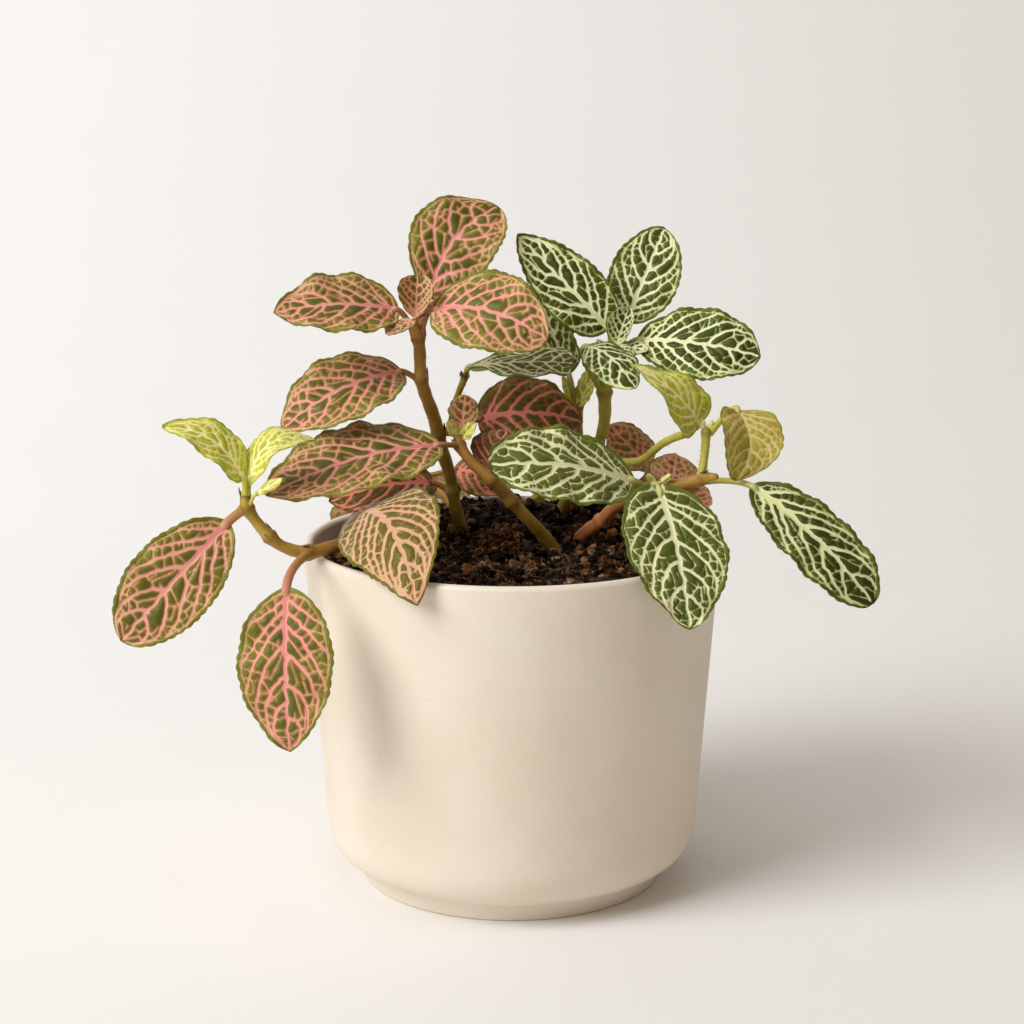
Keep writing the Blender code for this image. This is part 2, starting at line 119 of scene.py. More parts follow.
def ringFaces(rings, sides, first=0, flip=False):
    # four-sided faces between rings of points, the first ring starting at point number first
    faces = []
    for a in range(first, first + (rings - 1) * sides, sides):
        for k in range(sides):
            n = (k + 1) % sides
            face = [a + k, a + n, a + sides + n, a + sides + k]
            faces.append(face[:1] + face[:0:-1] if flip else face)
    return faces


def tube(route, radii, sides=10, squash=1.0, flat=(0.3, 0.2, 0.93), ridges=0.0):
    # a closed tube along a list of points; flat is the way its thin side looks when it is squashed
    ahead = unit(np.gradient(route, axis=0))
    first = np.asarray(flat, float)
    if abs(np.dot(unit(first), ahead[0])) > 0.95:
        first = np.array([1.0, 0.1, 0.2])
    across = []
    for direction in ahead:
        first = unit(first - direction * np.dot(first, direction))
        across.append(first)
    across = np.array(across)
    other = np.cross(ahead, across)
    turn = np.linspace(0, math.tau, sides, endpoint=False)
    wide = 1 + ridges * np.cos(4 * turn)
    ring = (across[:, None] * (np.cos(turn) * squash * wide)[None, :, None]
            + other[:, None] * (np.sin(turn) * wide)[None, :, None])
    points = (route[:, None] + ring * radii[:, None, None]).reshape(-1, 3)
    faces = ringFaces(len(route), sides)
    faces.append(list(range(sides))[::-1])
    faces.append(list(range(len(points) - sides, len(points))))
    return points, faces


def spline(points, step):
    # Catmull-Rom through rows of numbers, with a row about every step of length in the first three
    points = np.asarray(points, float)
    ends = np.vstack([2 * points[0] - points[1], points, 2 * points[-1] - points[-2]])
    rows, knots = [], []
    for i in range(len(points) - 1):
        before, start, end, after = ends[i:i + 4]
        count = max(2, int(round(np.linalg.norm((end - start)[:3]) / step)))
        for k in range(count):
            t = k / count
            rows.append(0.5 * (2 * start + (end - before) * t
                               + (2 * before - 5 * start + 4 * end - after) * t * t
                               + (3 * start - before - 3 * end + after) * t ** 3))
            knots.append(i + t)
    rows.append(points[-1])
    knots.append(len(points) - 1)
    return np.array(rows), np.array(knots, float)


class Value:
    # a node's output that can be used in plain expressions
    def __init__(self, shader, socket):
        self.shader, self.socket = shader, socket

    def do(self, operation, *numbers):
        return self.shader.add("ShaderNodeMath", {"operation": operation}, dict(enumerate(numbers)))

    def __add__(self, other):
        return self.do("ADD", self, other)

    def __sub__(self, other):
        return self.do("SUBTRACT", self, other)

    def __rsub__(self, other):
        return self.do("SUBTRACT", other, self)

    def __mul__(self, other):
        return self.do("MULTIPLY", self, other)

    def __pow__(self, other):
        return self.do("POWER", self, other)

    def __rpow__(self, other):
        return self.do("POWER", other, self)

    __radd__ = __add__
    __rmul__ = __mul__

    def atLeast(self, low):
        return self.do("MAXIMUM", self, low)

    def clamp(self):
        return self.do("MINIMUM", self, 1.0).atLeast(0.0)

    def step(self, low, high, start=0.0, end=1.0):
        # smooth rise from start to end as the value goes from low to high
        return self.shader.add("ShaderNodeMapRange", {"interpolation_type": "SMOOTHSTEP"},
                               {"Value": self, "From Min": low, "From Max": high, "To Min": start,
                                "To Max": end})


class Shader:
    def __init__(self, name, **fixed):
        self.material = bpy.data.materials.new(name)
        self.material.use_nodes = True
        self.tree = self.material.node_tree
        self.surface = self.tree.nodes["Principled BSDF"]
        for socket, value in fixed.items():
            self.surface.inputs[socket.replace("_", " ")].default_value = value

    def add(self, kind, settings=None, sockets=None, out=0):
        node = self.tree.nodes.new(kind)
        for key, value in (settings or {}).items():
            setattr(node, key, value)
        for key, value in (sockets or {}).items():
            if isinstance(value, Value):
                self.tree.links.new(value.socket, node.inputs[key])
            else:
                node.inputs[key].default_value = value
        return Value(self, node.outputs[out])

    def number(self, name):
        return self.add("ShaderNodeAttribute", {"attribute_name": name}, out="Fac")

    def place(self):
        return self.add("ShaderNodeTexCoord", out="Object")

    def axis(self, letter):
        return self.add("ShaderNodeSeparateXYZ", None, {"Vector": self.place()}, out=letter)

    def noise(self, size, detail=2.0, rough=0.5):
        # size is the width of a blob, in mm
        return self.add("ShaderNodeTexNoise", {"noise_dimensions": "3D"},
                        {"Vector": self.place(), "Scale": 1 / (size * mm), "Detail": detail,
                         "Roughness": rough}, out="Fac")

    def coats(self, colour, *layers):
        # layers are a share and a colour each, laid over the first colour in turn
        for share, coat in layers:
            first, second = [side if isinstance(side, Value) else paint(*side) for side in (colour, coat)]
            sockets = {0: share, 6: first, 7: second}
            colour = self.add("ShaderNodeMix", {"data_type": "RGBA"}, sockets, out=2)
        return colour

    def bump(self, height, distance, strength=1.0):
        return self.add("ShaderNodeBump", None,
                        {"Height": height, "Distance": distance * mm, "Strength": strength})

    def finish(self, **links):
        for socket, value in links.items():
            self.tree.links.new(value.socket, self.surface.inputs[socket.replace("_", " ")])
        return self.material


print("helpers ready")


potSize = dict(radius=60.0, height=100.0, wall=3.0, waistRadius=54.3, waistHeight=19.0, floor=9.0,
               footRadius=45.8, footBaseRadius=43.9, footHeight=5.2, footEdge=0.8, insideCorner=12.0,
               shoulderReach=12.0, shoulderDrop=13.5, shoulderTurn=70.0, shoulderFullness=0.833, turns=288)
potColours = dict(light=(239, 227, 210), warm=(227, 211, 188), speck=(176, 148, 118))


def arcPoints(centreR, centreZ, radius, start, end, count):
    turn = np.radians(np.linspace(start, end, count + 1))
    return [(centreR + radius * math.cos(a), centreZ + radius * math.sin(a)) for a in turn]


def potOutline():
    size = potSize
    height, waist, wall = size["height"], size["waistRadius"], size["wall"]
    lip, inside, edge = wall / 2, size["insideCorner"], size["footEdge"]
    foot, base, crease = size["footRadius"], size["footBaseRadius"], size["footHeight"]
    outline = [(0.0, size["floor"])]
    outline += arcPoints(waist - wall - inside, size["floor"] + inside, inside, -90, 0, 10)
    outline += arcPoints(size["radius"] - lip, height - lip, lip, 180, 0, 14)
    for share in np.linspace(0, 1, 13)[1:-1]:
        outline.append((size["radius"] + (waist - size["radius"]) * share,
                        height - lip - (height - lip - size["waistHeight"]) * share))
    for r, z in arcPoints(0, 0, 1, 0, -size["shoulderTurn"], 16):
        out = size["shoulderReach"] * (1 - r ** size["shoulderFullness"])
        down = size["shoulderDrop"] * abs(z) ** size["shoulderFullness"]
        outline.append((waist - out, size["waistHeight"] - down))
    outline += [(foot + 1.05, crease + 1.0), (foot + 0.5, crease + 0.55)]      # soft crease above the foot
    outline += [(foot + 0.15, crease), (foot - 0.1, crease - 0.6)]
    outline += [((foot + base) / 2, (crease + edge) / 2), (base + 0.15, edge + 0.6)]
    outline += arcPoints(base - edge, edge, edge, 0, -90, 5)
    return outline + [(base - 6, 0.0), (0.0, 0.0)]


def lathe(outline, turns):
    # the outline starts and ends on the axis
    angle = np.linspace(0, math.tau, turns, endpoint=False)
    rings = [np.stack([r * np.cos(angle), r * np.sin(angle), np.full(turns, z)], 1)
             for r, z in outline[1:-1]]
    points = np.vstack([(0, 0, outline[0][1]), *rings, (0, 0, outline[-1][1])])
    faces = ringFaces(len(rings), turns, 1, True)
    end = len(points) - 1
    for k in range(turns):
        n = (k + 1) % turns
        faces += [[0, 1 + k, 1 + n], [end - turns + k, end, end - turns + n]]
    return points, faces


def potMaterial():
    shader = Shader("creamCeramic", Specular_IOR_Level=0.4, Subsurface_Weight=0.06, Subsurface_Scale=0.004)
    grain = shader.noise(0.9, 4, 0.7)
    colour = shader.coats(
        potColours["light"],
        (shader.noise(34, 2).step(0.3, 0.7) * 0.5, potColours["warm"]),
        (grain.step(0.35, 0.8) * 0.16, potColours["warm"]),
        (shader.noise(1.7, 2, 0.6).step(0.66, 0.74) * 0.09, potColours["speck"]))
    relief = grain * 0.6 + shader.noise(4.5, 2) * 1.2
    lip = shader.axis("Z").step(0.096, 0.0985, 0.0, 0.16)      # the lip is a little glossier
    return shader.finish(Base_Color=colour, Roughness=0.44 + grain * 0.16 - lip,
                         Normal=shader.bump(relief, 0.09, 0.6))


settle(meshPiece("cream_pot", *lathe(potOutline(), potSize["turns"]), potMaterial()), "ceramic", "pot")
print("pot done")


soilSize = dict(height=91.0, dome=1.6, rings=62, turns=264, heap=8.0, heapStart=8.0, heapEnd=50.0,
                bumps=((1.1, 9.0), (2.2, 4.6), (0.8, 1.6)))      # height and spacing
crumbLook = dict(count=3650, smallest=0.32, largest=2.0, reach=53.5, bigCount=24, bigLargest=3.0, large=1.4,
                 mound=14, moundReach=5.0, fibres=520, fibreLength=(1.5, 8.0), fibreRadius=(0.10, 0.34),
                 clod=(-3.0, 11.0, 95.6, 6.8), clodCrumbs=520)
soilColours = dict(deep=(14, 7, 2), brown=(146, 104, 70), rust=(170, 108, 58), pale=(224, 176, 124))


def potRadiusAt(height):
    share = (height - potSize["waistHeight"]) / (potSize["height"] - potSize["waistHeight"])
    return potSize["waistRadius"] + share * (potSize["radius"] - potSize["waistRadius"])


def soilHeight(x, y, radius):
    inward = 1 - (x * x + y * y) / (radius * radius)
    edge = min(1.0, inward * 5)
    height = soilSize["height"] + soilSize["dome"] * inward
    height += soilSize["heap"] * float(ease(y, soilSize["heapStart"], soilSize["heapEnd"]))
    for i, (rise, spacing) in enumerate(soilSize["bumps"]):
        nearEdge = (edge, 0.35 + 0.65 * edge, 1.0)[i]
        height += rise * nearEdge * noise.noise(Vector((x, y, 20.0 * i)) / spacing)
    return height


def soilPlug():
    top = potRadiusAt(soilSize["height"]) - potSize["wall"] - 0.1
    low = potSize["waistRadius"] - potSize["wall"] - 1
    rings, turns = soilSize["rings"], soilSize["turns"]
    angle = np.linspace(0, math.tau, turns, endpoint=False)
    around = np.stack([np.cos(angle), np.sin(angle)], 1)
    points = [(0.0, 0.0, soilHeight(0, 0, top))]
    for i in range(1, rings + 1):
        points += [(x, y, soilHeight(x, y, top)) for x, y in around * top * i / rings]
    for r, z in ((low, potSize["waistHeight"] + 2), (low - 9, potSize["floor"] + 1)):
        points += [(x, y, z) for x, y in around * r]
    faces = [[0, 1 + k, 1 + (k + 1) % turns] for k in range(turns)]
    faces += ringFaces(rings + 2, turns, 1, True)
    faces.append(list(range(len(points) - turns, len(points)))[::-1])
    return np.array(points), faces, top


def roundForm(detail):
    # an icosahedron, each face cut in four detail times, as points on a sphere and triangles
    g = (1 + math.sqrt(5)) / 2
    points = [(-1, g, 0), (1, g, 0), (-1, -g, 0), (1, -g, 0), (0, -1, g), (0, 1, g), (0, -1, -g), (0, 1, -g),
              (g, 0, -1), (g, 0, 1), (-g, 0, -1), (-g, 0, 1)]
    faces = [(0, 11, 5), (0, 5, 1), (0, 1, 7), (0, 7, 10), (0, 10, 11), (1, 5, 9), (5, 11, 4), (11, 10, 2),
             (10, 7, 6), (7, 1, 8), (3, 9, 4), (3, 4, 2), (3, 2, 6), (3, 6, 8), (3, 8, 9), (4, 9, 5),
             (2, 4, 11), (6, 2, 10), (8, 6, 7), (9, 8, 1)]
    points = [tuple(unit(p)) for p in points]
    for _ in range(detail):
        cut, halves = [], {}
        for a, b, c in faces:
            mids = []
            for pair in ((a, b), (b, c), (c, a)):
                key = tuple(sorted(pair))
                if key not in halves:
                    halves[key] = len(points)
                    points.append(tuple(unit(np.add(points[key[0]], points[key[1]]))))
                mids.append(halves[key])
            cut += [(a, mids[0], mids[2]), (b, mids[1], mids[0]), (c, mids[2], mids[1]), tuple(mids)]
        faces = cut
    return np.array(points), faces


def crumb(rng, form, size):
    points, faces = form
    rough = rng.normal(0, 0.22, (len(points), 1)) + 1
    stretch = rng.uniform(0.55, 1.25, 3)
    turn, _ = np.linalg.qr(rng.normal(size=(3, 3)))
    return (points * rough * stretch * size) @ turn, faces


def spot(rng, reach):
    # a random place on the soil: its distance from the middle, x and y
    r = reach * math.sqrt(rng.uniform(0, 1))
    a = rng.uniform(0, math.tau)
    return r, r * math.cos(a), r * math.sin(a)


def makeSoil():
    rng = seedOf("soil")
    parts = Parts("toneAndShade", "rust")
    points, faces, top = soilPlug()
    parts.add(points, faces, toneAndShade=0.1)
    small, large = roundForm(0), roundForm(1)
    for i in range(crumbLook["count"]):
        _, x, y = spot(rng, crumbLook["reach"])
        spread = crumbLook["largest"] - crumbLook["smallest"]
        size = crumbLook["smallest"] + rng.uniform(0, 1) ** 3 * spread
        if i < crumbLook["bigCount"]:
            size = rng.uniform(crumbLook["largest"], crumbLook["bigLargest"])
        body, sides = crumb(rng, large if size > crumbLook["large"] else small, size)
        lift = soilHeight(x, y, top) + size * rng.uniform(-0.1, 0.45)
        # painted shade: crumbs towards the back are darkened for the shade the leaves cast there
        paintedBackShade = 1 - 0.5 * float(ease(y, 5, 45))      # darker under the leaves at the back
        parts.add(body + (x, y, lift), sides, toneAndShade=rng.uniform(0, 1) * paintedBackShade,
                  rust=float(rng.uniform() < 0.12) * rng.uniform(0.4, 1))
    x, y, z, size = crumbLook["clod"]
    for _ in range(crumbLook["clodCrumbs"]):
        out = unit(rng.normal(size=3)) * (1, 1, 0.8)
        body, sides = crumb(rng, small, rng.uniform(0.4, 1.1))
        parts.add(body + (x, y, z) + out * size * rng.uniform(0.55, 1.0), sides,
                  toneAndShade=rng.uniform(0.2, 0.9), rust=rng.uniform(0.1, 0.8))
    feet = [entry["route"][0][:2] for entry in stemRoutes.values() if entry.get("rooted")]
    for foot in np.repeat(feet, crumbLook["mound"], axis=0):      # crumbs around the foot of each stem
        out = unit(rng.normal(size=2)) * rng.uniform(0.4, 1) * crumbLook["moundReach"]
        x, y = foot + out
        size = rng.uniform(0.7, 1.9)
        body, sides = crumb(rng, small, size)
        heaped = 1.6 * (1 - np.hypot(*out) / crumbLook["moundReach"])
        parts.add(body + (x, y, soilHeight(x, y, top) + size * 0.5 + heaped), sides,
                  toneAndShade=rng.uniform(0, 1), rust=float(rng.uniform() < 0.3))
    t = np.linspace(-0.5, 0.5, 7)[:, None]
    for _ in range(crumbLook["fibres"]):
        r, x, y = spot(rng, crumbLook["reach"] * 0.95)
        heading = rng.uniform(0, math.tau)
        length = rng.uniform(*crumbLook["fibreLength"]) * (0.6 if r > 44 else 1.0)      # shorter by the wall
        width = rng.uniform(*crumbLook["fibreRadius"])
        go = np.array([math.cos(heading), math.sin(heading), rng.uniform(-0.15, 0.35)])
        side = np.cross((0, 0, 1), go)
        route = (x, y, soilHeight(x, y, top) + rng.uniform(0.1, 1.6)) + go * length * t
        route = route + side * (rng.normal(0, 0.12) * length * (t * t - 0.1))
        route = route + rng.normal(0, 0.12, route.shape)
        body, sides = tube(route, width * (1.1 - np.abs(t[:, 0]) * 1.6), 5, rng.uniform(0.35, 1))
        parts.add(body, sides, toneAndShade=rng.uniform(0.3, 1), rust=rng.uniform(0.2, 1))
    return parts


def soilMaterial():
    shader = Shader("pottingSoil", Specular_IOR_Level=0.12)
    toneAndShade, rust = shader.number("toneAndShade"), shader.number("rust")
    mottle = shader.noise(2.4, 4, 0.65)
    grain = shader.noise(0.5, 3, 0.7)
    colour = shader.coats(
        soilColours["deep"],
        # toneAndShade is each crumb's own random tone, with painted shade towards the back of the pot
        ((toneAndShade ** 3.6 * 1.1 + mottle.step(0.5, 0.78) * 0.2).clamp(), soilColours["brown"]),
        ((rust * 0.75 * grain.step(0.2, 0.7)).clamp(), soilColours["rust"]),
        (shader.noise(1.1, 3).step(0.56, 0.68) * toneAndShade.step(0.4, 1.0), soilColours["pale"]))
    return shader.finish(Base_Color=colour, Roughness=0.42 + grain * 0.4,
                         Normal=shader.bump(grain + mottle, 0.35, 0.8))


# Stem routes from the soil, or the parent stem, to the tip: x, y, z, radius. Leaves grow at these points.
# knots: points with a knot but no leaf; red and fresh: how red-brown and how yellow-green, 0 to 1.
stemRoutes = {
    "stem_pink_main": dict(red=(0.0, 0.45), knots=(2,), rooted=True, route=((-15, 25, 94, 2.13),
        (-17.5, 22, 109, 1.87), (-21.5, 18, 126.5, 2.04), (-26, 12, 144, 1.87), (-27, 8.5, 157, 1.79),
        (-27.5, 7, 160.5, 1.28))),
    "stem_pink_fork": dict(route=((-18.6, 16.6, 129.2, 1.02), (-16, 14, 137.5, 0.94),
        (-13.8, 10.4, 145.5, 1.02))),
    "stem_pink_low": dict(red=(0.1, 0.5), knots=(2,), rooted=True, route=((12, 13, 94, 2.21),
        (6, 8, 102, 1.96), (0, 5, 109.5, 1.87), (-6, 2, 116.5, 1.96), (-11.5, 3.5, 121.5, 1.62),
        (-15, 5.5, 126, 1.62), (-15, 7, 128, 1.19))),
    "stem_trailing_left": dict(knots=(1, 5), rooted=True, red=(0.75, 0.15), route=((-35, -13, 94, 1.87),
        (-41, -18, 100, 1.79), (-47, -23, 103, 1.7), (-56.5, -30, 102.7, 1.96), (-62.5, -31.5, 104.3, 1.62),
        (-66.5, -32, 107.5, 1.79), (-70, -32, 111.5, 1.53), (-72.5, -32, 115.5, 1.7),
        (-73, -31, 118.5, 1.11))),
    "stem_trailing_right": dict(knots=(1,), rooted=True, red=(1.0, 0.3), route=((20, 21, 94, 2.21),
        (26, 12, 102.5, 2.04), (32.5, 2, 110, 1.96), (39.5, -8, 115.5, 2.25), (47, -12, 118, 1.53),
        (53.5, -15, 120.5, 1.7), (57, -16.5, 121, 1.19))),
    "shoot_right": dict(knots=(2,), fresh=1.0, route=((53.2, -15, 123.2, 1.28), (53.8, -14.6, 128, 1.19),
        (54.5, -14, 133, 1.28))),
    "stem_white_main": dict(knots=(2,), fresh=0.3, rooted=True, route=((12, 42, 94, 1.87),
        (17, 38, 103, 1.79), (24.5, 32, 115, 1.7), (27, 28, 126.5, 1.7), (27.5, 26, 138, 2.04),
        (28.2, 24, 146.5, 1.7), (29.5, 22, 151, 1.19))),
    "stem_white_side": dict(fresh=0.7, route=((26, 28.6, 115.6, 1.11), (37, 10, 120.8, 1.19),
        (45, -3, 129.3, 1.19), (49.6, -7.6, 132.2, 1.19))),
    "stem_behind": dict(rooted=True, fresh=0.6, route=((21, 45, 94, 1.62), (22, 41, 108, 1.45),
        (20.5, 34.5, 122.5, 1.36), (19.5, 32, 133, 1.53))),
    "stem_pink_right": dict(rooted=True, red=0.5, route=((33, 36, 94, 1.7), (36, 34, 103, 1.53),
        (40, 31.5, 109.5, 1.53), (45, 28, 111.5, 1.36))),
    "stem_back_left": dict(rooted=True, red=0.4, route=((-14, 39, 94, 1.79), (-20, 47, 101.5, 1.62),
        (-27, 57, 106, 1.79), (-33, 67, 106, 1.62), (-37, 74, 102.5, 1.11))),
    "stem_back_right": dict(rooted=True, route=((2, 43, 94, 1.79), (8, 51, 101.5, 1.62),
        (15, 60, 106, 1.79), (21, 69, 105.5, 1.62), (25, 76, 101.5, 1.11))),
}
stemLook = dict(step=0.55, sides=20, rooted=7.0, joined=2.2, slender=0.97, swelling=0.26, swellingLength=1.3,
                grooveDepth=0.07, grooveLength=0.3, ridges=0.03, hairs=26, hairLength=(0.5, 1.3),
                stubs=2, stubLength=(1.0, 1.9), stubRadius=0.75, hairRadius=0.055, wobble=0.25,
                footBrown=0.75, footReach=9, footFade=12)
stemColours = dict(olive=(142, 126, 26), green=(174, 164, 48), brown=(116, 72, 34),
                   red=(184, 112, 64), scar=(88, 48, 36), fresh=(192, 190, 84))


soilParts = makeSoil()
settle(soilParts.piece("potting_soil", soilMaterial(), smooth=False), "soil", "soil")
print("soil done,", soilParts.count, "points")


def stemMaterial():
    shader = Shader("stem", Specular_IOR_Level=0.35, Subsurface_Weight=0.08, Subsurface_Scale=0.002)
    knot, red = shader.number("knot"), shader.number("red")
    patches = shader.noise(7, 3, 0.6)
    grain = shader.noise(0.5, 3, 0.65)
    colour = shader.coats(
        stemColours["olive"],
        (patches.step(0.35, 0.68), stemColours["green"]),
        (shader.number("fresh") * 0.85, stemColours["fresh"]),
        (shader.noise(1.6, 3, 0.6).step(0.5, 0.75) * 0.3, stemColours["brown"]),
        ((red + patches * red - 0.2 * red).clamp(), stemColours["red"]),
        ((knot * 0.75 + grain.step(0.55, 0.8) * 0.18).clamp(), stemColours["brown"]),
        (shader.number("scar"), stemColours["scar"]))
    return shader.finish(Base_Color=colour, Roughness=0.4 + grain * 0.2,
                         Normal=shader.bump(grain + patches, 0.12, 0.7))


def makeStem(name, entry):
    rng = seedOf(name)
    route = [list(point) for point in entry["route"]]
    start = np.array(route[0][:3])
    direction, reach = unit(np.array(route[1][:3]) - start), stemLook["joined"]
    rooted = entry.get("rooted")
    if rooted:
        direction, reach = unit(direction + (0, 0, 0.6)), stemLook["rooted"]
    route.insert(0, [*(start - direction * reach), route[0][3]])
    path, knots = spline(route, stemLook["step"])
    line = path[:, :3]
    ahead = unit(np.gradient(line, axis=0))
    travelled = travel(line)
    leafPlaces = {look["node"] for look in leaves.values() if look["stem"] == name}
    knotPlaces = [i + 1 for i in sorted(leafPlaces.union(entry.get("knots", ())))]
    radius = path[:, 3] * stemLook["slender"]
    knotNear = np.zeros(len(path))
    for k in knotPlaces:
        away = travelled - np.interp(k, knots, travelled)
        bulge = np.exp(-(away / stemLook["swellingLength"]) ** 2)
        groove = np.exp(-((away - 0.5) / stemLook["grooveLength"]) ** 2)
        radius *= 1 + stemLook["swelling"] * bulge - stemLook["grooveDepth"] * groove
        knotNear = np.maximum(knotNear, np.exp(-(away / 0.9) ** 2))
    radius *= 1 + 0.03 * np.sin(travelled * 1.1 + rng.uniform(0, 6)) + rng.normal(0, 0.008, len(radius))
    wobble = np.stack([np.sin(travelled * 0.31 + rng.uniform(0, 6)) for _ in range(3)], 1)
    wobble = wobble * stemLook["wobble"]
    parts = Parts("knot", "red", "scar", "fresh")
    red = entry.get("red", 0.05)
    low, high = red if isinstance(red, tuple) else (red, red)
    redness = low + (high - low) * travelled / travelled[-1]
    tipRise = np.array([0.3, 0.6, 0.82, 0.96])[:, None]      # the rounded tip
    body = np.vstack([line + wobble, line[-1] + wobble[-1] + ahead[-1] * radius[-1] * tipRise])
    widths = np.concatenate([radius, radius[-1] * np.sqrt(1 - tipRise[:, 0] ** 2)])
    brownness = knotNear * 0.7
    if rooted:
        past = np.clip(travelled - stemLook["footReach"], 0, None)
        brownness = np.maximum(brownness, stemLook["footBrown"] * np.exp(-past / stemLook["footFade"]))
    knotValues, redValues = [np.repeat(np.append(field, [field[-1]] * len(tipRise)), stemLook["sides"])
                             for field in (brownness, redness)]
    parts.add(*tube(body, widths, stemLook["sides"], ridges=stemLook["ridges"]), knot=knotValues,
              red=redValues, fresh=entry.get("fresh", 0.0))
    t = np.linspace(0, 1, 6)[:, None]
    for k in np.repeat(knotPlaces, stemLook["stubs"]):      # old leaf stalks and bud scales beside each knot
        i = int(np.argmin(np.abs(knots - k)))
        out = unit(np.cross(ahead[i], rng.normal(size=3)))
        length = rng.uniform(*stemLook["stubLength"])
        spike = line[i] + out * radius[i] * 0.7 + (out * 0.45 + ahead[i] * (0.8 + t)) * length * t
        parts.add(*tube(spike, stemLook["stubRadius"] * (1 - t[:, 0] ** 2 * 0.85), 7, 0.6), knot=0.5,
                  red=redness[i], scar=0.85)
    t = np.linspace(0, 1, 3)[:, None]
    for _ in range(stemLook["hairs"]):
        i = int(rng.integers(2, len(path) - 2))
        out = unit(np.cross(ahead[i], rng.normal(size=3)))
        length = rng.uniform(*stemLook["hairLength"])
        hair = line[i] + out * radius[i] * 0.95 + (out + ahead[i] * t * 0.4) * length * t
        parts.add(*tube(hair, stemLook["hairRadius"] * (1.1 - t[:, 0]), 4), red=redness[i], knot=0.2)
    return parts


def leaf(node, base, tip, width, face, **shape):
    # the stem's route point, the ends of the blade, and the way the upper side looks; then
    # belly: where the blade is widest; arch: rise of its middle; fold: lift of its halves, left and right
    # lobe: how far the base reaches back beside the stalk; sway: bend to the side; cup: rise of its edges
    # tone: -1 dark and red to 1 pale, on some leaves partly painted shade and painted light; wave: height of
    # its edge's ripples; fine: how close its points are
    # twist: its turn from base to tip; curl: drop of its tip; pointed: 1 for round ends, more for sharp ones
    entry = dict(node=node, base=base, tip=tip, width=width, face=face, belly=0.4, arch=0.0, fold=8.0,
                 petiole=1.0, kind="pink", lobe=1.2, sway=0.0, cup=-0.8, tone=0.0, wave=0.7, fine=1.0,
                 veins=6, twist=0.0, curl=0.0, pointed=1.15)
    return dict(entry, **shape)


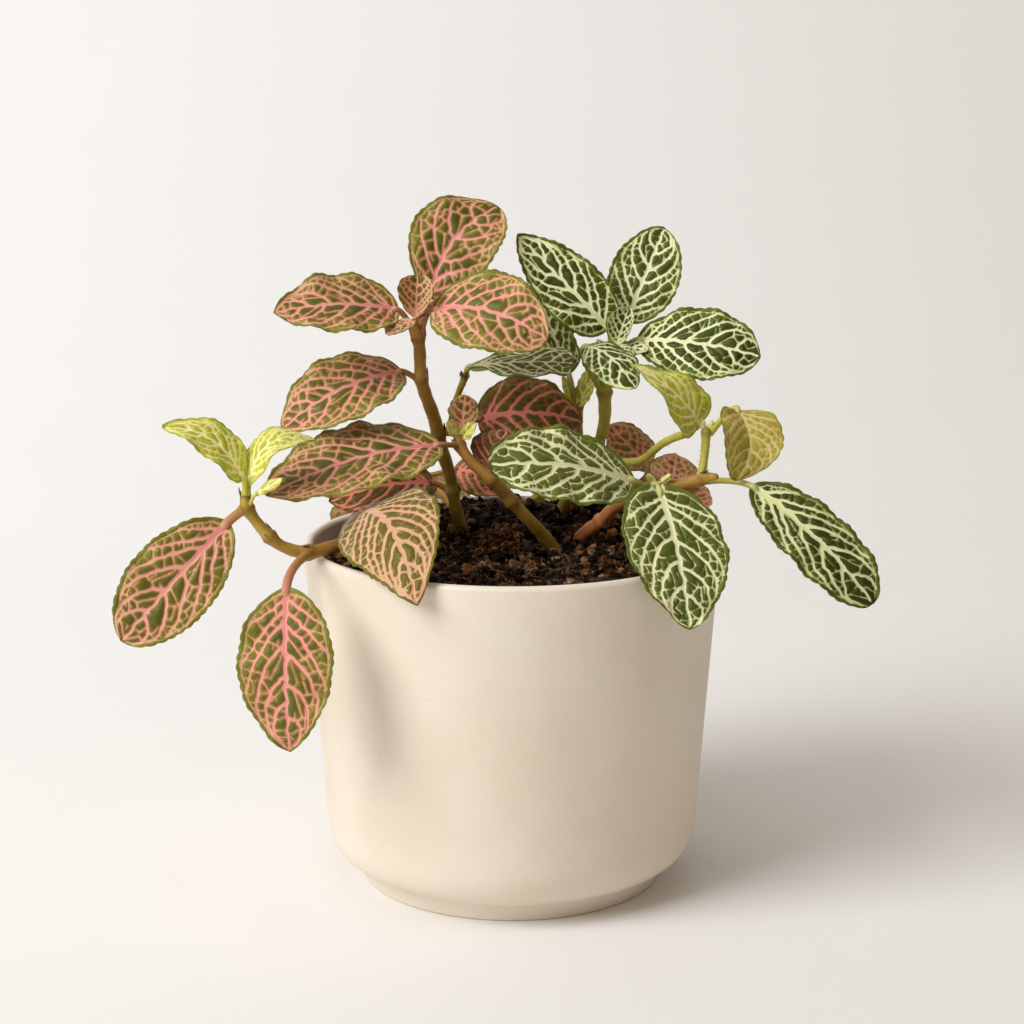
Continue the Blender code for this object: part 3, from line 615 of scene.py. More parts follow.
leavesByStem = {
    "stem_pink_main": {
        "pink_top_back": leaf(4, (-23.5, 13, 169), (-4.1, 24, 193.1), 26, (0, -1, 0.35), belly=0.5,
            arch=1.5, sway=4, fold=10, veins=5),
        "pink_top_left": leaf(4, (-33.5, 6, 165.5), (-67, -4, 165.5), 23, (0.1, -0.7, 0.8), arch=3,
            tone=0.25),
        "pink_top_right": leaf(4, (-21.5, 3, 166), (10, -10, 158.7), 25.5, (0, -0.9, 0.5), belly=0.45,
            arch=3, sway=2.5, fold=6, tone=0.1),
        "pink_middle_left": leaf(3, (-32.5, 9, 147), (-65, -6, 133), 25, (-0.2, -0.75, 0.75), belly=0.45,
            arch=4.5, fold=4),
        # pink_dark_left's tone of -1.15 is partly its own dark colour and partly painted shade, for the
        # shade under the front leaves
        "pink_dark_left": leaf(1, (-24, 23, 111.5), (-54, 18, 106.5), 23, (0, -0.6, 0.8), arch=3,
            tone=-1.15, fine=1.5)},
    "stem_pink_fork": {
        # pink_folded's raised tone is partly painted light: it is made paler to look lit where the leaf
        # above shades it
        "pink_folded": leaf(2, (-11.8, 8.6, 148.6), (17.7, 5, 150), 20, (0, -0.15, 1), belly=0.66, arch=1,
            fold=(12, -4), tone=0.7, kind="white")},
    "stem_pink_low": {
        "pink_front_left": leaf(5, (-21.5, -2, 127.5), (-68, -26, 117.5), 29, (0, -0.5, 0.9), belly=0.45,
            arch=4, fold=5),
        "pink_small_upright": leaf(6, (-14.5, 7, 131), (-13.5, 7, 140.5), 9, (0, -1, 0.2), belly=0.5,
            fold=10, tone=0.3, veins=4),
        "pink_dark_right": leaf(6, (-9, 17, 132), (21, 23, 129.5), 25, (0, -0.8, 0.6), arch=5, fold=2,
            tone=-0.9, fine=1.4),
        "pink_dark_lower": leaf(3, (-6.5, 7.2, 118.2), (-1.5, 8, 130), 16, (-0.35, -1, 0.1), belly=0.45,
            arch=1, fold=6, tone=-1.0, veins=5, fine=1.3)},
    "stem_trailing_left": {
        "pale_over_rim": leaf(2, (-41.5, -23, 113), (-25, -61.5, 95.5), 30, (-0.2, -0.55, 0.75), belly=0.33,
            arch=8, sway=3.5, fold=(0, -25), lobe=4, tone=1.0, wave=0.8, veins=8),
        "pink_hanging": leaf(3, (-60.5, -50, 96.4), (-59, -64, 56.1), 26.5, (-0.15, -0.95, 0.2), belly=0.44,
            arch=3, fold=4, petiole=1.4, pointed=1.35, tone=-0.12),
        "pink_far_left": leaf(7, (-78.5, -33, 111), (-106.5, -42, 80.5), 24.5, (0.25, -0.85, 0.5),
            belly=0.5, arch=3, fold=5, petiole=1.5, tone=0.3),
        "young_left": leaf(8, (-74, -31, 124.8), (-94.5, -34, 138.6), 12.5, (0.1, -0.75, 0.65), belly=0.36,
            arch=2.5, sway=-3, fold=20, kind="young", curl=0.8),
        "young_right": leaf(8, (-71.8, -30, 123.6), (-54.4, -25, 133.4), 11, (-0.3, -0.6, 0.7), belly=0.35,
            arch=6, sway=1.5, fold=16, kind="young", curl=1),
        "young_small": leaf(7, (-69.5, -34, 120), (-62, -37, 125), 3, (0, -0.7, 0.7), petiole=0.6,
            kind="young", veins=3, tone=-0.4)},
    "stem_pink_right": {
        "pink_right_upper": leaf(2, (40.5, 35, 115), (29.5, 40, 126), 14, (0.3, -0.9, 0.4), tone=0.1,
            veins=5, fine=1.3),
        "pink_right_middle": leaf(3, (47.5, 24, 111), (49.5, 31, 118.5), 15, (0.1, -0.9, 0.5), tone=0.1,
            veins=5, fine=1.3),
        "pink_right_corner": leaf(3, (50, 26, 108.5), (59.5, 22, 105), 10, (0.2, -0.7, 0.7), veins=4,
            fine=1.3),
        "back_9": leaf(2, (46.5, 36, 107.5), (62, 46, 88), 20, (0.7, 0.3, 0.6), arch=3, fine=1.5)},
    "stem_white_main": {
        "white_top_left": leaf(5, (27.5, 21, 158.5), (1.5, 26, 184.5), 19.5, (-0.35, -0.75, 0.55),
            belly=0.36, arch=2, fold=10, kind="white"),
        "white_top_back": leaf(5, (34, 26, 160), (45, 34, 186), 21, (0, -1, 0.4), belly=0.45, arch=1,
            kind="white", tone=0.3),
        "white_top_right": leaf(5, (37.5, 18, 155), (71.5, 8, 151.5), 23, (0, -0.85, 0.55), belly=0.5,
            arch=3, fold=4, kind="white"),
        "white_curled": leaf(4, (21.5, 11, 154), (35, -4, 144), 15, (0, -0.6, 0.8), belly=0.5, arch=4,
            fold=-18, kind="white", veins=5)},
    "stem_behind": {
        "white_behind": leaf(3, (16.5, 29, 144), (8.5, 26, 165), 13, (0.3, -0.9, 0.3), fold=12,
            kind="white", tone=0.25, veins=5, fine=1.3)},
    "stem_trailing_right": {
        # white_front's tone of 0.8 and white_over_rim's of 0.45 are painted light: these front leaves are
        # made paler to look more brightly lit
        "white_front": leaf(3, (33.5, -13, 119.6), (-5.5, -34, 129), 25, (-0.1, -0.75, 0.65), belly=0.5,
            arch=3, fold=4, kind="white", curl=2, petiole=1.15, tone=0.8, pointed=0.97),
        "white_over_rim": leaf(3, (40.8, -28, 119), (47.5, -56, 87.5), 29.5, (0.3, -0.85, 0.4), arch=3,
            fold=3, kind="white", lobe=3, tone=0.45),
        "white_far_right": leaf(5, (67.5, -22, 119), (98.5, -40, 90.5), 20.5, (-0.1, -0.6, 0.75),
            belly=0.55, arch=4, fold=4, kind="white", pointed=1.0, tone=-0.35)},
    "stem_white_side": {
        "young_twisted": leaf(3, (52.5, -11, 135.5), (32.5, -16, 153), 16.5, (0.3, -0.7, 0.6), belly=0.23,
            arch=3, fold=10, kind="young", twist=40, pointed=1.3)},
    "shoot_right": {
        "young_nodding": leaf(2, (63, -14, 139.5), (62.3, -22, 121), 19.5, (0, -0.95, 0.3), belly=0.38,
            arch=2, sway=3.5, fold=(20, 35), kind="young", tone=0.8, pointed=0.95, lobe=0.2,
            wave=1.3)},
    "stem_back_left": {
        # the tone of -1 on back_1 and back_2 is painted shade: they are darkened for the shade behind the
        # stems
        "back_1": leaf(2, (-33, 55, 109.5), (-51, 62, 103), 21, (-0.4, 0.1, 0.9), arch=3, fine=1.5,
            tone=-1.0),
        "back_2": leaf(2, (-17.5, 58, 108.5), (-1, 51.5, 102.5), 17, (0.1, -0.7, 0.7), arch=3, fine=1.5,
            tone=-1.0),
        "back_3": leaf(3, (-41, 70, 102), (-53, 83, 73), 23, (-0.6, 0.75, 0.4), arch=4, fine=1.5),
        "back_4": leaf(3, (-27.5, 75, 103), (-22, 90, 73), 24, (0.2, 0.9, 0.4), arch=4, fine=1.5)},
    "stem_back_right": {
        # the tone of -1 on back_5 and back_6 is painted shade: they are darkened for the shade behind the
        # stems
        "back_5": leaf(2, (14, 63, 109), (3, 61, 104), 14, (-0.1, -0.4, 0.9), arch=3, kind="white",
            fine=1.5, tone=-1.0),
        "back_6": leaf(2, (22, 57, 110), (46, 64, 105), 22, (0.3, 0.1, 0.9), arch=3, kind="white",
            fine=1.5, tone=-1.0),
        "back_7": leaf(3, (29, 69, 101.5), (45, 80, 74), 22, (0.5, 0.75, 0.4), arch=4, kind="white",
            fine=1.5),
        "back_8": leaf(4, (23, 82, 99), (22, 94, 68), 20, (0, 0.95, 0.3), arch=3, kind="white",
            fine=1.5)},
}
leaves = {"leaf_" + name: dict(entry, stem=stem) for stem, group in leavesByStem.items()
          for name, entry in group.items()}
stemFinish = stemMaterial()
for name, entry in stemRoutes.items():
    settle(makeStem(name, entry).piece(name.replace("stem_", "") + "_stem", stemFinish), "stem", name)
print("stems done")


leafLook = dict(step=0.36, thickness=0.46, edgeMargin=1.3, toothSpacing=2.7, toothHeight=0.4, puffReach=1.1,
                cell=2.3, cellRun=(1.5, 0.88, 0.55), netWidth=0.39, sideWidth=0.68, middleWidth=1.55,
                drift=((0.4, 3.4), (0.13, 1.2)),      # reach and size of the veins' bends
                petioleHalf=0.9, petioleBend=0.35, rounding=0.2, wideStrip=1.75, spread=0.66, sunken=0.22,
                edgesGone=0.12, spurs=0.55, zigzag=0.22, waveHeight=1.3, waveScale=0.11,
                starts=(0.035, 0.085, 0.17, 0.29, 0.44, 0.60, 0.75),      # of the side veins along the blade
                ends=(0.22, 0.42, 0.58, 0.72, 0.83, 0.91, 0.96))
leafNumbers = ("veinEdge", "veinRank", "veinMain", "outward", "along", "below", "tone", "stalk")


def bladeHalf(along, entry):
    # half width of the plain outline, in mm, at a share of the blade's length
    rise = entry["pointed"] * entry["belly"]
    fall = entry["pointed"] - rise
    along = np.clip(along, 1e-6, 1 - 1e-6)
    peak = entry["belly"] ** rise * (1 - entry["belly"]) ** fall
    return entry["width"] / 2 * along ** rise * (1 - along) ** fall / peak


def lineDistance(points, line, halfWidths):
    # distance from each point to the edge of a line of changing width, negative inside it
    start, end = line[:-1], line[1:]
    run = end - start
    square = np.maximum((run ** 2).sum(1), 1e-9)
    best = np.full(len(points), 99.0)
    for i in range(len(run)):
        t = np.clip(((points - start[i]) @ run[i]) / square[i], 0, 1)
        gap = np.hypot(*(points - start[i] - run[i] * t[:, None]).T)
        best = np.minimum(best, gap - (halfWidths[i] + (halfWidths[i + 1] - halfWidths[i]) * t))
    return best


def evenly(line, count):
    travelled = travel(line)
    at = np.linspace(0, travelled[-1], count)
    return np.stack([np.interp(at, travelled, line[:, i]) for i in (0, 1)], 1)


def cellSeeds(rng, near, far, cell):
    # middles of the net's cells along the strip between two side veins, two abreast where it is wide
    near, far = evenly(near, 40), evenly(far, 40)
    travelled = travel((near + far) / 2)
    seeds, place, turn = [], cell * rng.uniform(0.8, 1.3), 1
    while place < travelled[-1] - cell * 0.15:
        size = cell * float(np.interp(place / travelled[-1], (0.1, 0.6, 1.0), leafLook["cellRun"]))
        a, b = [np.array([np.interp(place, travelled, edge[:, i]) for i in (0, 1)]) for edge in (near, far)]
        width = np.hypot(*(a - b))
        if width > size * leafLook["wideStrip"]:
            share, step = 0.5 + 0.23 * turn, size * 0.78
        else:
            share, step = 0.5, float(np.clip(width * 0.95, size * 0.68, size * 1.15))
        if width > 0.7:
            seeds.append(a + (b - a) * share + rng.normal(0, size * 0.15, 2))
        place += step * rng.uniform(0.8, 1.25)
        turn = -turn
    return np.array(seeds).reshape(-1, 2)


def blend(distances, sharp):
    # the least of several distances, with the corners between them rounded off
    distances = np.stack(distances)
    least = distances.min(0)
    return least - sharp * np.log(np.exp(-np.clip((distances - least) / sharp, 0, 30)).sum(0))


def netDistance(points, seeds, rng, half):
    # distance to the edges between cells; some edges are left out, and some cells get a free-ending spur
    if len(seeds) < 2:
        return np.full(len(points), 99.0)
    squares = ((points[:, None] - seeds[None]) ** 2).sum(2)
    own = squares.argmin(1)
    apart = np.sqrt(((seeds[:, None] - seeds[None]) ** 2).sum(2)) + np.eye(len(seeds)) * 1e6
    gone = np.triu(rng.uniform(size=apart.shape) < leafLook["edgesGone"], 1)
    widths = half * rng.uniform(0.75, 1.2, apart.shape)
    widths = (widths + widths.T) / 2
    gap = (squares - squares[np.arange(len(points)), own][:, None]) / (2 * apart[own]) - widths[own]
    gap = np.where((gone | gone.T)[own] | (apart[own] > 1e5), 99.0, gap)
    best = blend(list(np.sort(gap, 1)[:, :3].T), leafLook["rounding"])
    for i, seed in enumerate(seeds):
        if rng.uniform() < leafLook["spurs"]:
            angle = rng.uniform(0, math.tau)
            out = np.array([math.cos(angle), math.sin(angle)])
            line = np.array([seed + out * 0.3, seed + out * rng.uniform(0.8, 1.3), seed + out * 2.6])
            mine = own == i
            spur = lineDistance(points[mine], line, np.array([0.04, half * 0.8, half]))
            best[mine] = np.minimum(best[mine], spur)
    return best


def veinFields(entry, rng, s, t):
    # for points s along and t across the flat blade: distance to the nearest main vein's edge and to the
    # nearest vein of the net, both in mm
    length = bladeFrame(entry)[2]
    look, count = leafKinds[entry["kind"]], entry["veins"]
    scale = math.sqrt(min(1.15, length / 42))
    margin = leafLook["edgeMargin"] * scale * min(1, entry["width"] / 20 + 0.2)
    bold = look["veinScale"] * (1 + 0.3 * abs(entry["tone"])) * scale / 2
    half = leafLook["netWidth"] / 2 * (0.6 + 0.4 * scale) * look["netScale"]
    moved = np.zeros((len(s), 2))
    for reach, size in leafLook["drift"]:
        flat = np.stack([s, t], 1) / (size * scale)
        for i, level in enumerate((entry["width"], entry["width"] + 50)):
            moved[:, i] += np.array([noise.noise(Vector((x, y, level))) for x, y in flat]) * reach * scale
    points = np.stack([s, t], 1) + moved
    s, t = points.T

    def outer(at):
        return np.maximum(bladeHalf(at / length, entry) - margin, 0.05)

    def outerLine(start, end):
        at = np.linspace(start, end, 26)
        return np.stack([at, outer(at)], 1)

    net = np.full(len(s), 99.0)
    spine = np.stack([np.linspace(-3, length * 0.97, 60), np.zeros(60)], 1)
    zigzag = np.sin(spine[:, 0] / length * count * 2.6 * math.pi) * ease(spine[:, 0], 2, 9)
    spine[:, 1] = leafLook["zigzag"] * scale * zigzag
    taper = 0.34 + 0.66 * np.linspace(1, 0, 60) ** 1.5
    mains = [lineDistance(points, spine, leafLook["middleWidth"] * bold * taper)]
    q = np.linspace(0, 1, 22)
    for side in (-1, 1):
        mirrored = np.stack([s, t * side], 1)
        curves, ends = [], []
        for k in range(count):
            x = k / (count - 1) * 6
            start = np.interp(x, range(7), leafLook["starts"]) + 0.025 * side * x / 6 + rng.normal(0, 0.012)
            end = min(np.interp(x, range(7), leafLook["ends"]) + rng.normal(0, 0.012), 0.965)
            start, end = start * length, end * length
            at = start + (end - start) * q ** 1.35
            curve = np.stack([at, q ** (1.35 * leafLook["spread"]) * outer(at)], 1)
            curve[1:-1, 1] += np.convolve(rng.normal(0, 0.3 * scale, 22), [0.3, 0.4, 0.3], "valid")
            curves.append(curve)
            ends.append(end)
            widths = (1.08 - 0.5 * q) * (0.8 + 0.2 * min(1, (end - start) / (0.3 * length)))
            mains.append(lineDistance(mirrored, curve, leafLook["sideWidth"] * bold * widths))
        rim = np.vstack([[0.0, 0.0], outerLine(0.01 * length, 0.985 * length)])
        rim[:, 1] += rng.normal(0, 0.16 * scale, len(rim))
        net = np.minimum(net, lineDistance(mirrored, rim, np.full(len(rim), half * 0.9)))
        ahead = [(s > c[-1, 0]) | ((s >= c[0, 0]) & (mirrored[:, 1] < np.interp(s, *c.T))) for c in curves]
        band = np.sum(ahead, axis=0)
        inside = (mirrored[:, 1] > -0.01) & (mirrored[:, 1] < outer(s) + 0.3)
        for k in range(count + 1):
            mine = inside & (band == k)
            if not mine.any():
                continue
            near = outerLine(0.01 * length, ends[0])
            if k > 0:
                finish = ends[k] if k < count else 0.97 * length
                near = np.vstack([curves[k - 1], outerLine(ends[k - 1], max(finish, ends[k - 1] + 0.1))[1:]])
            far = np.array([[curves[-1][0, 0] + 1.0, 0.0], [length * 0.96, 0.0]])
            if k < count:
                far = curves[k]
            seeds = cellSeeds(rng, near, far, leafLook["cell"] * scale * look["cellScale"])
            net[mine] = np.minimum(net[mine], netDistance(mirrored[mine], seeds, rng, half))
        for _ in range(int(length / 3)):      # short ticks outside the looped veins
            at = rng.uniform(0.08, 0.93) * length
            foot = np.array([at, outer(at)])
            tick = np.array([foot, foot + np.array([rng.uniform(0, 0.5), rng.uniform(0.5, 0.9)]) * scale])
            net = np.minimum(net, lineDistance(mirrored, tick, np.array([half * 0.8, half * 0.3])))
    return blend(list(np.sort(mains, 0)[:2]), leafLook["rounding"]), net


def bladeFrame(entry):
    base = np.array(entry["base"], float)
    chord = np.subtract(entry["tip"], base)
    length = np.linalg.norm(chord)
    chord = chord / length
    face = np.array(entry["face"], float)
    face = unit(face - chord * np.dot(face, chord))
    return base, chord, length, face, np.cross(face, chord)


def bladeSurface(entry, s, t, lift):
    # points in space of the flat blade's s, t, raised by lift along the surface's own upward side
    base, chord, length, face, side = bladeFrame(entry)
    a = s / length
    arch, curl, fold = entry["arch"], entry["curl"], entry["fold"]
    left, right = fold if isinstance(fold, tuple) else (fold, fold)
    angle = np.radians(np.where(t > 0, left, right) + np.where(t > 0, 1, -1) * entry["twist"] * (a - 0.3))
    bow = 4 * a * (1 - a)
    inside = np.clip(a, 0, 1)
    middle = (base + chord * s[:, None] + face * (arch * bow - curl * inside ** 4)[:, None]
              + side * (entry["sway"] * bow)[:, None])
    ahead = unit(chord * length + face * (4 * arch * (1 - 2 * a) - 4 * curl * inside ** 3)[:, None])
    normal = np.cross(ahead, side)
    normal = np.where((normal @ face)[:, None] < 0, -normal, normal)
    cup = entry["cup"] * (t / entry["width"] * 2) ** 2 * np.clip(a * 4, 0, 1)
    rise = (np.sqrt(t * t + 1.0) - 1.0) * np.sin(angle) + cup + lift
    return middle + side * (t * np.cos(angle))[:, None] + normal * rise[:, None], normal


def petioleRoute(entry):
    # from inside the stem to the blade's base, then on under the midrib, where it thins away
    base, chord, length, face, _ = bladeFrame(entry)
    route = np.array(stemRoutes[entry["stem"]]["route"])
    place = entry["node"]
    node = route[place, :3]
    along = unit(route[min(place + 1, len(route) - 1), :3] - route[place - 1, :3])
    heading = unit(base - node)
    outward = unit(heading - along * np.dot(heading, along))
    start = node + outward * route[place, 3] * 0.55
    into = unit(chord * length + face * 4 * entry["arch"])
    bend = base - into * np.linalg.norm(base - start) * leafLook["petioleBend"]
    t = np.linspace(0, 1, 16)[:, None]
    stalk = start * (1 - t) ** 2 + bend * 2 * t * (1 - t) + base * t * t
    a = np.linspace(0.015, 0.8, 22)
    under, normal = bladeSurface(entry, a * length, np.zeros(22), np.zeros(22))
    half = leafLook["petioleHalf"] * entry["petiole"]
    ribRadius = half * (0.95 - 0.72 * a / 0.8) * min(1, length / 30 + 0.25)
    rib = under - normal * (0.2 + 0.42 * ease(a, 0, 0.08) + ribRadius * 0.8)[:, None]
    flare = 1 + 0.35 * np.exp(-(t[:, 0] / 0.12) ** 2)
    radii = np.concatenate([half * flare * np.linspace(0.95, 1.0, 16), ribRadius])
    return np.vstack([stalk, rib]), radii, np.append(t, np.ones(22))


def leafFaces(rows, columns, index, under):
    # small quads above, faces twice as wide below, which take in all the points along the blade's edge
    faces = np.stack([index[:-1, :-1], index[1:, :-1], index[1:, 1:], index[:-1, 1:]], -1)
    faces = faces.reshape(-1, 4).tolist()
    around = ((0, 0), (0, 1), (0, 2), (1, 2), (2, 2), (2, 1), (2, 0), (1, 0))
    for row in range(0, rows, 2):
        for column in range(0, columns, 2):
            spots = [(row + i, column + j) for i, j in around]
            used = [int(index[i, j]) for i, j in spots
                    if i % 2 == j % 2 == 0 or i in (0, rows) or j in (0, columns)]
            faces.append([under.get(k, k) for k in used])
    return faces


def makeLeaf(name, entry, parts=None):
    rng = seedOf(name)
    length = bladeFrame(entry)[2]
    step = leafLook["step"] * entry["fine"]
    rows = 2 * max(10, int(round(length / step / 2)))
    columns = 2 * max(6, int(round(entry["width"] / step / 2)))
    u = np.linspace(0, 1, rows + 1)
    c = np.linspace(-1, 1, columns + 1)
    a = 0.6 * u + 0.4 * (1 - np.cos(math.pi * u)) / 2
    c = np.sin(c * math.pi / 2) * 0.35 + c * 0.65
    a, c = [grid.ravel() for grid in np.meshgrid(a, c, indexing="ij")]
    out, along = np.abs(c), a * length
    half = np.maximum(bladeHalf(a, entry), np.where(a < 0.5, 0.9 * entry["petiole"], 0.25))
    ripple = along / leafLook["toothSpacing"] + rng.uniform(0, 1)
    tooth = (np.abs(np.sin(math.pi * ripple)) - 0.6) * leafLook["toothHeight"] * out ** 8
    t = c * half + np.sign(c) * tooth * ease(a, 0.03, 0.12) * ease(1 - a, 0.02, 0.1)
    s = along - entry["lobe"] * c ** 2 * (1 - a) ** 5
    main, net = veinFields(entry, rng, along, t)
    edge = blend([main, net], leafLook["rounding"])
    rank = np.clip((net - main) / 0.35 + 0.6, 0, 1)
    puffed = 1 - np.exp(-(np.clip(edge, 0, 9) / leafLook["puffReach"]) ** 1.5)
    flat = ease(1 - out, 0.0, 0.12)
    sunken = leafLook["sunken"] * ease(-main, -0.25, 0.35)
    lift = (leafKinds[entry["kind"]]["puff"] * (puffed - 0.5) - sunken) * flat
    level = len(name) + entry["width"]
    waves = [noise.noise(Vector((x, y, level))) for x, y in np.stack([s, t], 1) * leafLook["waveScale"]]
    lift += np.array(waves) * leafLook["waveHeight"] * ease(out, 0.05, 0.7)
    ripples = np.sin(along * 0.62 + 2 * np.sign(c) + rng.uniform(0, 6))
    lift += entry["wave"] * ripples * out ** 3 * ease(a, 0, 0.2)
    thick = leafLook["thickness"] * (1 - 0.8 * ease(out, 0.9, 1))
    top, _ = bladeSurface(entry, s, t, lift + thick / 2)
    low, _ = bladeSurface(entry, s, t, lift - thick / 2 - 0.18 * ease(-main, -0.4, 0.2) * flat)
    index = np.arange(len(top)).reshape(rows + 1, columns + 1)
    inner = index[2:-2:2, 2:-2:2].ravel()
    under = {int(k): len(top) + i for i, k in enumerate(inner)}
    both = [np.append(field, field[inner]) for field in (edge, rank, main, out, a)]
    parts = parts or Parts(*leafNumbers)
    parts.add(np.vstack([top, low[inner]]), leafFaces(rows, columns, index, under), veinEdge=both[0],
              veinRank=both[1], veinMain=both[2], outward=both[3], along=both[4],
              below=np.repeat([0.0, 1.0], [len(top), len(inner)]), tone=entry["tone"])
    path, radii, share = petioleRoute(entry)
    parts.add(*tube(path, radii, 12, 0.9, flat=bladeFrame(entry)[3]), veinEdge=-0.3, veinRank=1.0,
              veinMain=-0.3, below=np.repeat((share >= 1) * 1.0, 12), tone=entry["tone"],
              stalk=np.repeat(1.0 - 0.6 * share ** 2, 12))
    return parts


# Colours as they show on a screen. flush is the tint of the blade beside a vein, soft how a vein's
# edge blurs into it.
leafKinds = {
    "pink": dict(
        puff=0.5, cellScale=1.0, veinScale=1.1, netScale=0.8,
        dark=(72, 78, 22), mid=(102, 106, 34), edge=(124, 124, 38), rim=(86, 90, 22),
        glow=(186, 124, 78), paintedSheen=(98, 104, 52),
        vein=(234, 156, 147), core=(228, 118, 124), net=(218, 166, 130), stalk=(164, 122, 64),
        below=(150, 132, 84), belowVein=(206, 160, 122), deepBelow=(50, 36, 20),
        paleBlade=(104, 92, 20), paleVein=(214, 168, 130), darkBlade=(80, 62, 14),
        darkVein=(218, 122, 104), soft=(-0.12, 0.16), flush=0.85),
    "white": dict(
        puff=0.66, cellScale=0.95, veinScale=1.16, netScale=0.76,
        dark=(38, 48, 3), mid=(62, 76, 10), edge=(88, 102, 22), rim=(58, 72, 12),
        glow=(92, 104, 36), paintedSheen=(86, 96, 58),
        vein=(238, 236, 190), core=(236, 232, 172), net=(214, 216, 158), stalk=(158, 150, 50),
        below=(120, 132, 62), belowVein=(190, 194, 120), deepBelow=(52, 52, 24),
        paleBlade=(112, 120, 48), paleVein=(240, 236, 190), darkBlade=(46, 52, 14),
        darkVein=(170, 172, 94), soft=(-0.10, 0.13), flush=0.3),
    "young": dict(
        puff=0.5, cellScale=0.95, veinScale=0.85, netScale=0.65,
        dark=(162, 164, 34), mid=(202, 200, 70), edge=(172, 176, 46), rim=(124, 138, 26),
        glow=(212, 208, 96), paintedSheen=(180, 182, 76),
        vein=(248, 238, 168), core=(244, 234, 150), net=(228, 222, 126), stalk=(190, 184, 70),
        below=(186, 176, 90), belowVein=(222, 212, 146), deepBelow=(120, 112, 40),
        paleBlade=(130, 112, 46), paleVein=(178, 126, 86), darkBlade=(118, 130, 26),
        darkVein=(212, 210, 120), soft=(-0.12, 0.16), flush=0.45),
}


def leafMaterial(kind):
    look = leafKinds[kind]
    shader = Shader(kind + "_leaf", Specular_IOR_Level=0.3, Specular_Tint=(1.0, 1.0, 0.6, 1.0),
                    Subsurface_Weight=0.1, Subsurface_Scale=0.0012, Subsurface_Radius=(1.0, 0.8, 0.3))
    edge, rank, main, outward, along, below, tone, stalk = [shader.number(name) for name in leafNumbers]
    pale, deep = tone.atLeast(0.0), (0.0 - tone).atLeast(0.0)
    broad = shader.noise(9, 3, 0.55)
    fine = shader.noise(0.55, 3, 0.6)
    blade = shader.coats(
        look["dark"],
        (broad.step(0.32, 0.68), look["mid"]),
        (edge.step(0.0, 0.6, look["flush"], 0.0) + fine.step(0.5, 0.85) * 0.16, look["glow"]),
        # painted sheen: a lighter grey-green near the midrib stands in for the reflection of the bright
        # surround
        (outward.step(0.0, 0.45, 0.5, 0.0) * broad.step(0.35, 0.6), look["paintedSheen"]),
        (outward.step(0.45, 0.95) * 0.85, look["edge"]),
        (outward.step(0.965, 1.0) * 0.7, look["rim"]),
        # tone sets pale and deep: a leaf's own paler or darker, redder colour, and on the leaves marked so,
        # painted light (a raised tone) and painted shade (a lowered tone)
        (pale * 0.8, look["paleBlade"]),
        (deep * 0.8, look["darkBlade"]))
    vein = shader.coats(
        look["net"],
        (rank * outward.step(0.45, 0.95, 1.0, 0.35), look["vein"]),
        (main.step(-0.5, -0.1, 0.8, 0.0) * along.step(0.05, 0.6, 1.0, 0.35), look["core"]),
        (pale * 0.8, look["paleVein"]),
        (deep * 0.85, look["darkVein"]))
    lower = shader.coats(look["below"], (edge.step(-0.05, 0.3, 1.0, 0.0), look["belowVein"]),
                         (deep * 0.85, look["deepBelow"]))
    ragged = edge + (shader.noise(1.3, 2) - 0.5) * 0.16
    ragged = ragged + (1.0 - rank) * (shader.noise(5, 2) - 0.46).atLeast(0.0) * 0.5
    mask = ragged.step(*look["soft"], 1.0, 0.0) * (1.0 - deep * (1.0 - rank) * 0.75)
    colour = shader.coats(blade, (mask, vein), (stalk, look["stalk"]), (below * 0.85, lower))
    relief = fine * 0.5 + broad * 0.3 + edge.step(-0.1, 0.5) * 0.9
    return shader.finish(Base_Color=colour, Roughness=0.34 + fine * 0.16 + mask * 0.08,
                         Normal=shader.bump(relief, 0.16, 0.7))


leafFinish = {kind: leafMaterial(kind) for kind in leafKinds}
for name, entry in leaves.items():
    piece = makeLeaf(name, entry).piece(name.replace("leaf_", "") + "_leaf", leafFinish[entry["kind"]])
    settle(piece, entry["kind"] + "_leaf", name)
print("leaves done")


def leaflet(*ends, **shape):
    return leaf(None, *ends, petiole=0.55, lobe=0.3, wave=0.2, fine=0.8, **shape)


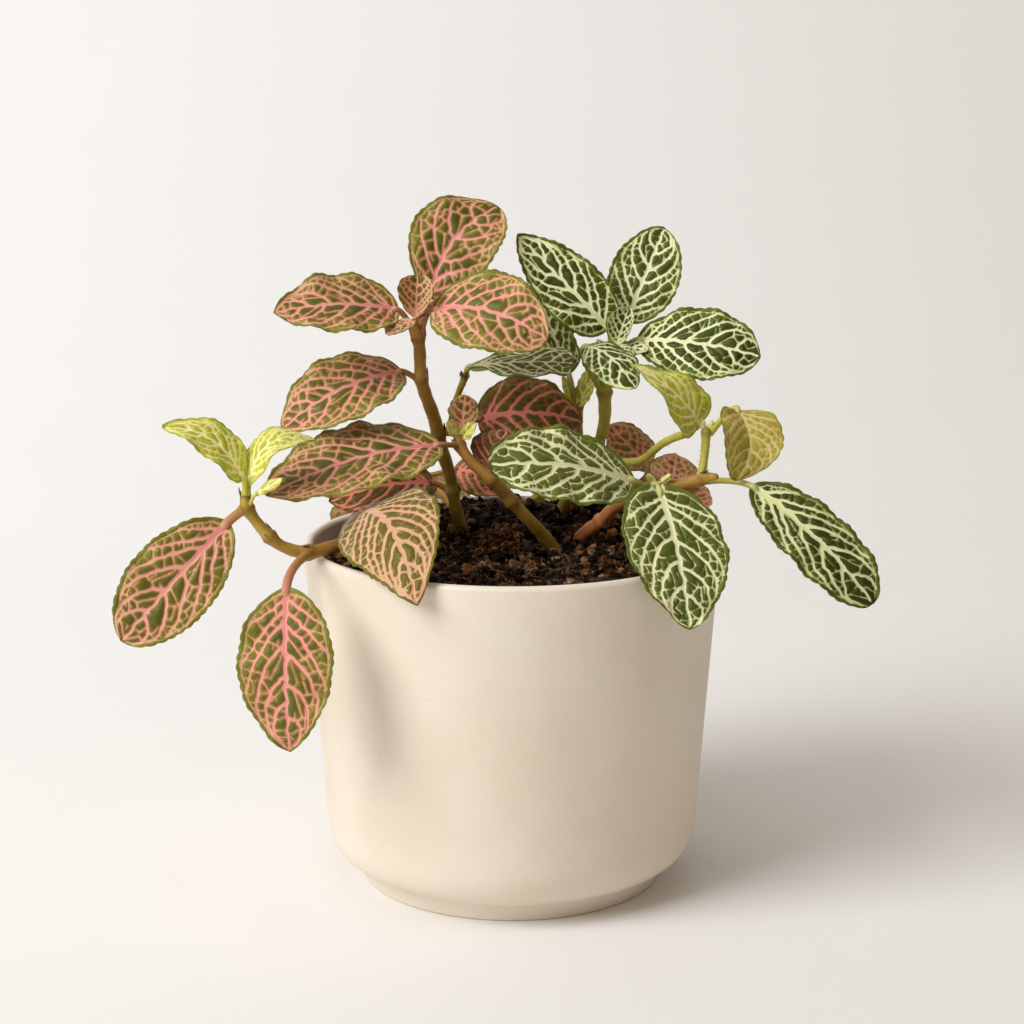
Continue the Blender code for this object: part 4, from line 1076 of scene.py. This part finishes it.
# Each bud is a few small cupped leaflets on the end of a shoot. The last two are pairs beside leaves.
buds = {
    "bud_pink_top": (dict(kind="pink", stem="stem_pink_main", node=5), (
        leaflet((-27.5, 4.5, 163.2), (-27, 7.5, 175), 13, (0, -1, 0.3), fold=38, cup=1.6, belly=0.6,
                veins=5, tone=0.8),
        leaflet((-28.5, 3.2, 162.6), (-35.5, -4, 160), 7, (0, -0.4, 1), fold=14, veins=4, tone=0.9),
        leaflet((-26.5, 5, 163), (-22, 8, 168), 5, (-0.6, -0.6, 0.5), fold=24, veins=3))),
    "bud_white_top": (dict(kind="white", stem="stem_white_main", node=6), (
        leaflet((30.5, 18.5, 153.4), (34, 21.5, 164), 10, (-0.3, -1, 0.3), fold=38, cup=1.4, belly=0.5,
                veins=5),
        leaflet((29.5, 17.5, 153.2), (24.5, 13.5, 155), 5.5, (0, -0.4, 1), fold=8, veins=4, tone=-0.3),
        leaflet((31, 17, 153), (34, 9.5, 150.5), 6.5, (0, -0.5, 0.9), fold=6, veins=4),
        leaflet((32, 18, 153.2), (39.5, 14, 152.5), 5.5, (0, -0.7, 0.7), fold=8, veins=4))),
    "bud_trailing_right": (dict(kind="young", stem="stem_trailing_right", node=3), (
        leaflet((40.8, -12.2, 118.6), (38.5, -15.5, 121.4), 2.6, (0, -0.9, 0.4), fold=20, veins=3),
        leaflet((41.6, -12.4, 118.6), (44.2, -15, 121.2), 2.4, (0, -0.9, 0.4), fold=20, veins=3))),
    "bud_shoot_right": (dict(kind="young", stem="shoot_right", node=2), (
        leaflet((54.3, -14, 133.6), (53.3, -14.6, 137.1), 2.2, (0.3, -0.9, 0.2), fold=24, veins=3),
        leaflet((54.9, -13.9, 133.6), (55.8, -14.4, 136.7), 2, (-0.3, -0.9, 0.2), fold=24, veins=3))),
    "leaf_white_behind": (dict(kind="young", stem="stem_behind", node=3), (
        leaflet((20, 31, 133.6), (25.5, 27, 146.5), 7.5, (-0.5, -1, 0.2), fold=34, veins=4),
        leaflet((18.8, 31, 133.6), (15, 29, 142.5), 4.5, (0.4, -1, 0.2), fold=26, veins=3))),
    "leaf_pink_small_upright": (dict(kind="young", stem="stem_pink_low", node=6), (
        leaflet((-15.5, 6, 128.4), (-18.5, 3, 133.5), 4, (0.3, -1, 0.3), fold=20, veins=3),
        leaflet((-14.2, 6, 128.4), (-10.5, 3, 133), 4.5, (-0.2, -1, 0.3), fold=20, veins=3))),
}

for name, (place, leaflets) in buds.items():
    parts = None
    for i, shape in enumerate(leaflets):
        parts = makeLeaf(name + str(i), dict(shape, **place), parts)
    piece = parts.piece(name.replace("bud_", "") + "_bud", leafFinish[place["kind"]])
    settle(piece, place["kind"] + "_leaf", name)
print("buds done")


# Floor that rises behind into the backdrop, a large soft key light, a dim front light and a warm surround.
studio = dict(near=(240, 237, 234), farLeftPaintedLight=(252, 251, 251), farRightPaintedLight=(249, 247, 245),
              stain=(230, 222, 212), bendStart=350, bendRadius=600, halfWidth=3000, front=-2500, top=2400)
lights = dict(key=dict(at=(-1.14, -0.75, 1.10), size=1.1, power=25.0, tone=(0.96, 1.0, 1.02)),
              front=dict(at=(-0.25, -0.45, 1.6), size=1.0, power=4.7, tone=(1.0, 0.98, 0.94)))
lightsAim = Vector((0, 0, 0.1))
surround = dict(Color=(1.0, 0.87, 0.74, 1.0), Strength=0.25)
view = dict(at=(0.0, -0.650, 0.248), pitchDown=12.2, lens=81.2)


def floorMaterial():
    shader = Shader("paleFloor", Specular_IOR_Level=0.2)
    # painted light: the backdrop is painted brighter than the floor in front, and brightest on the left,
    # where the key light comes from
    far = shader.coats(studio["farLeftPaintedLight"], (shader.axis("X").step(-0.25, 0.25), studio["farRightPaintedLight"]))
    colour = shader.coats(studio["near"], (shader.axis("Y").step(-0.15, 0.45), far),
                          (shader.noise(60, 3) * 0.06, studio["stain"]))
    return shader.finish(Base_Color=colour, Roughness=0.75 + shader.noise(4, 2) * 0.1)


def makeFloor():
    start, radius = studio["bendStart"], studio["bendRadius"]
    profile = [(studio["front"], 0), (start, 0), *arcPoints(start, radius, radius, -90, 0, 24),
               (start + radius, studio["top"])]
    points = [(x, y, z) for y, z in profile for x in (-studio["halfWidth"], studio["halfWidth"])]
    faces = [[i, i + 1, i + 3, i + 2] for i in range(0, len(points) - 2, 2)]
    meshPiece("floor", points, faces, floorMaterial())


def makeLight(name, look):
    lamp = bpy.data.lights.new(name, "AREA")
    lamp.shape = "DISK"
    lamp.size = look["size"]
    lamp.energy = look["power"]
    lamp.color = look["tone"]
    turn = (lightsAim - Vector(look["at"])).to_track_quat("-Z", "Y").to_euler()
    addThing(name, lamp, location=look["at"], rotation_euler=turn)


makeFloor()
for name, look in lights.items():
    makeLight(name, look)
world = bpy.data.worlds.new("surround")
world.use_nodes = True
for socket, value in surround.items():
    world.node_tree.nodes["Background"].inputs[socket].default_value = value
camera = bpy.data.cameras.new("camera")
camera.lens = view["lens"]
camera.sensor_width = 36.0
scene = bpy.context.scene
scene.world = world
scene.view_settings.view_transform = "Standard"
scene.camera = addThing("camera", camera, location=view["at"],
                        rotation_euler=(math.radians(90 - view["pitchDown"]), 0, 0))
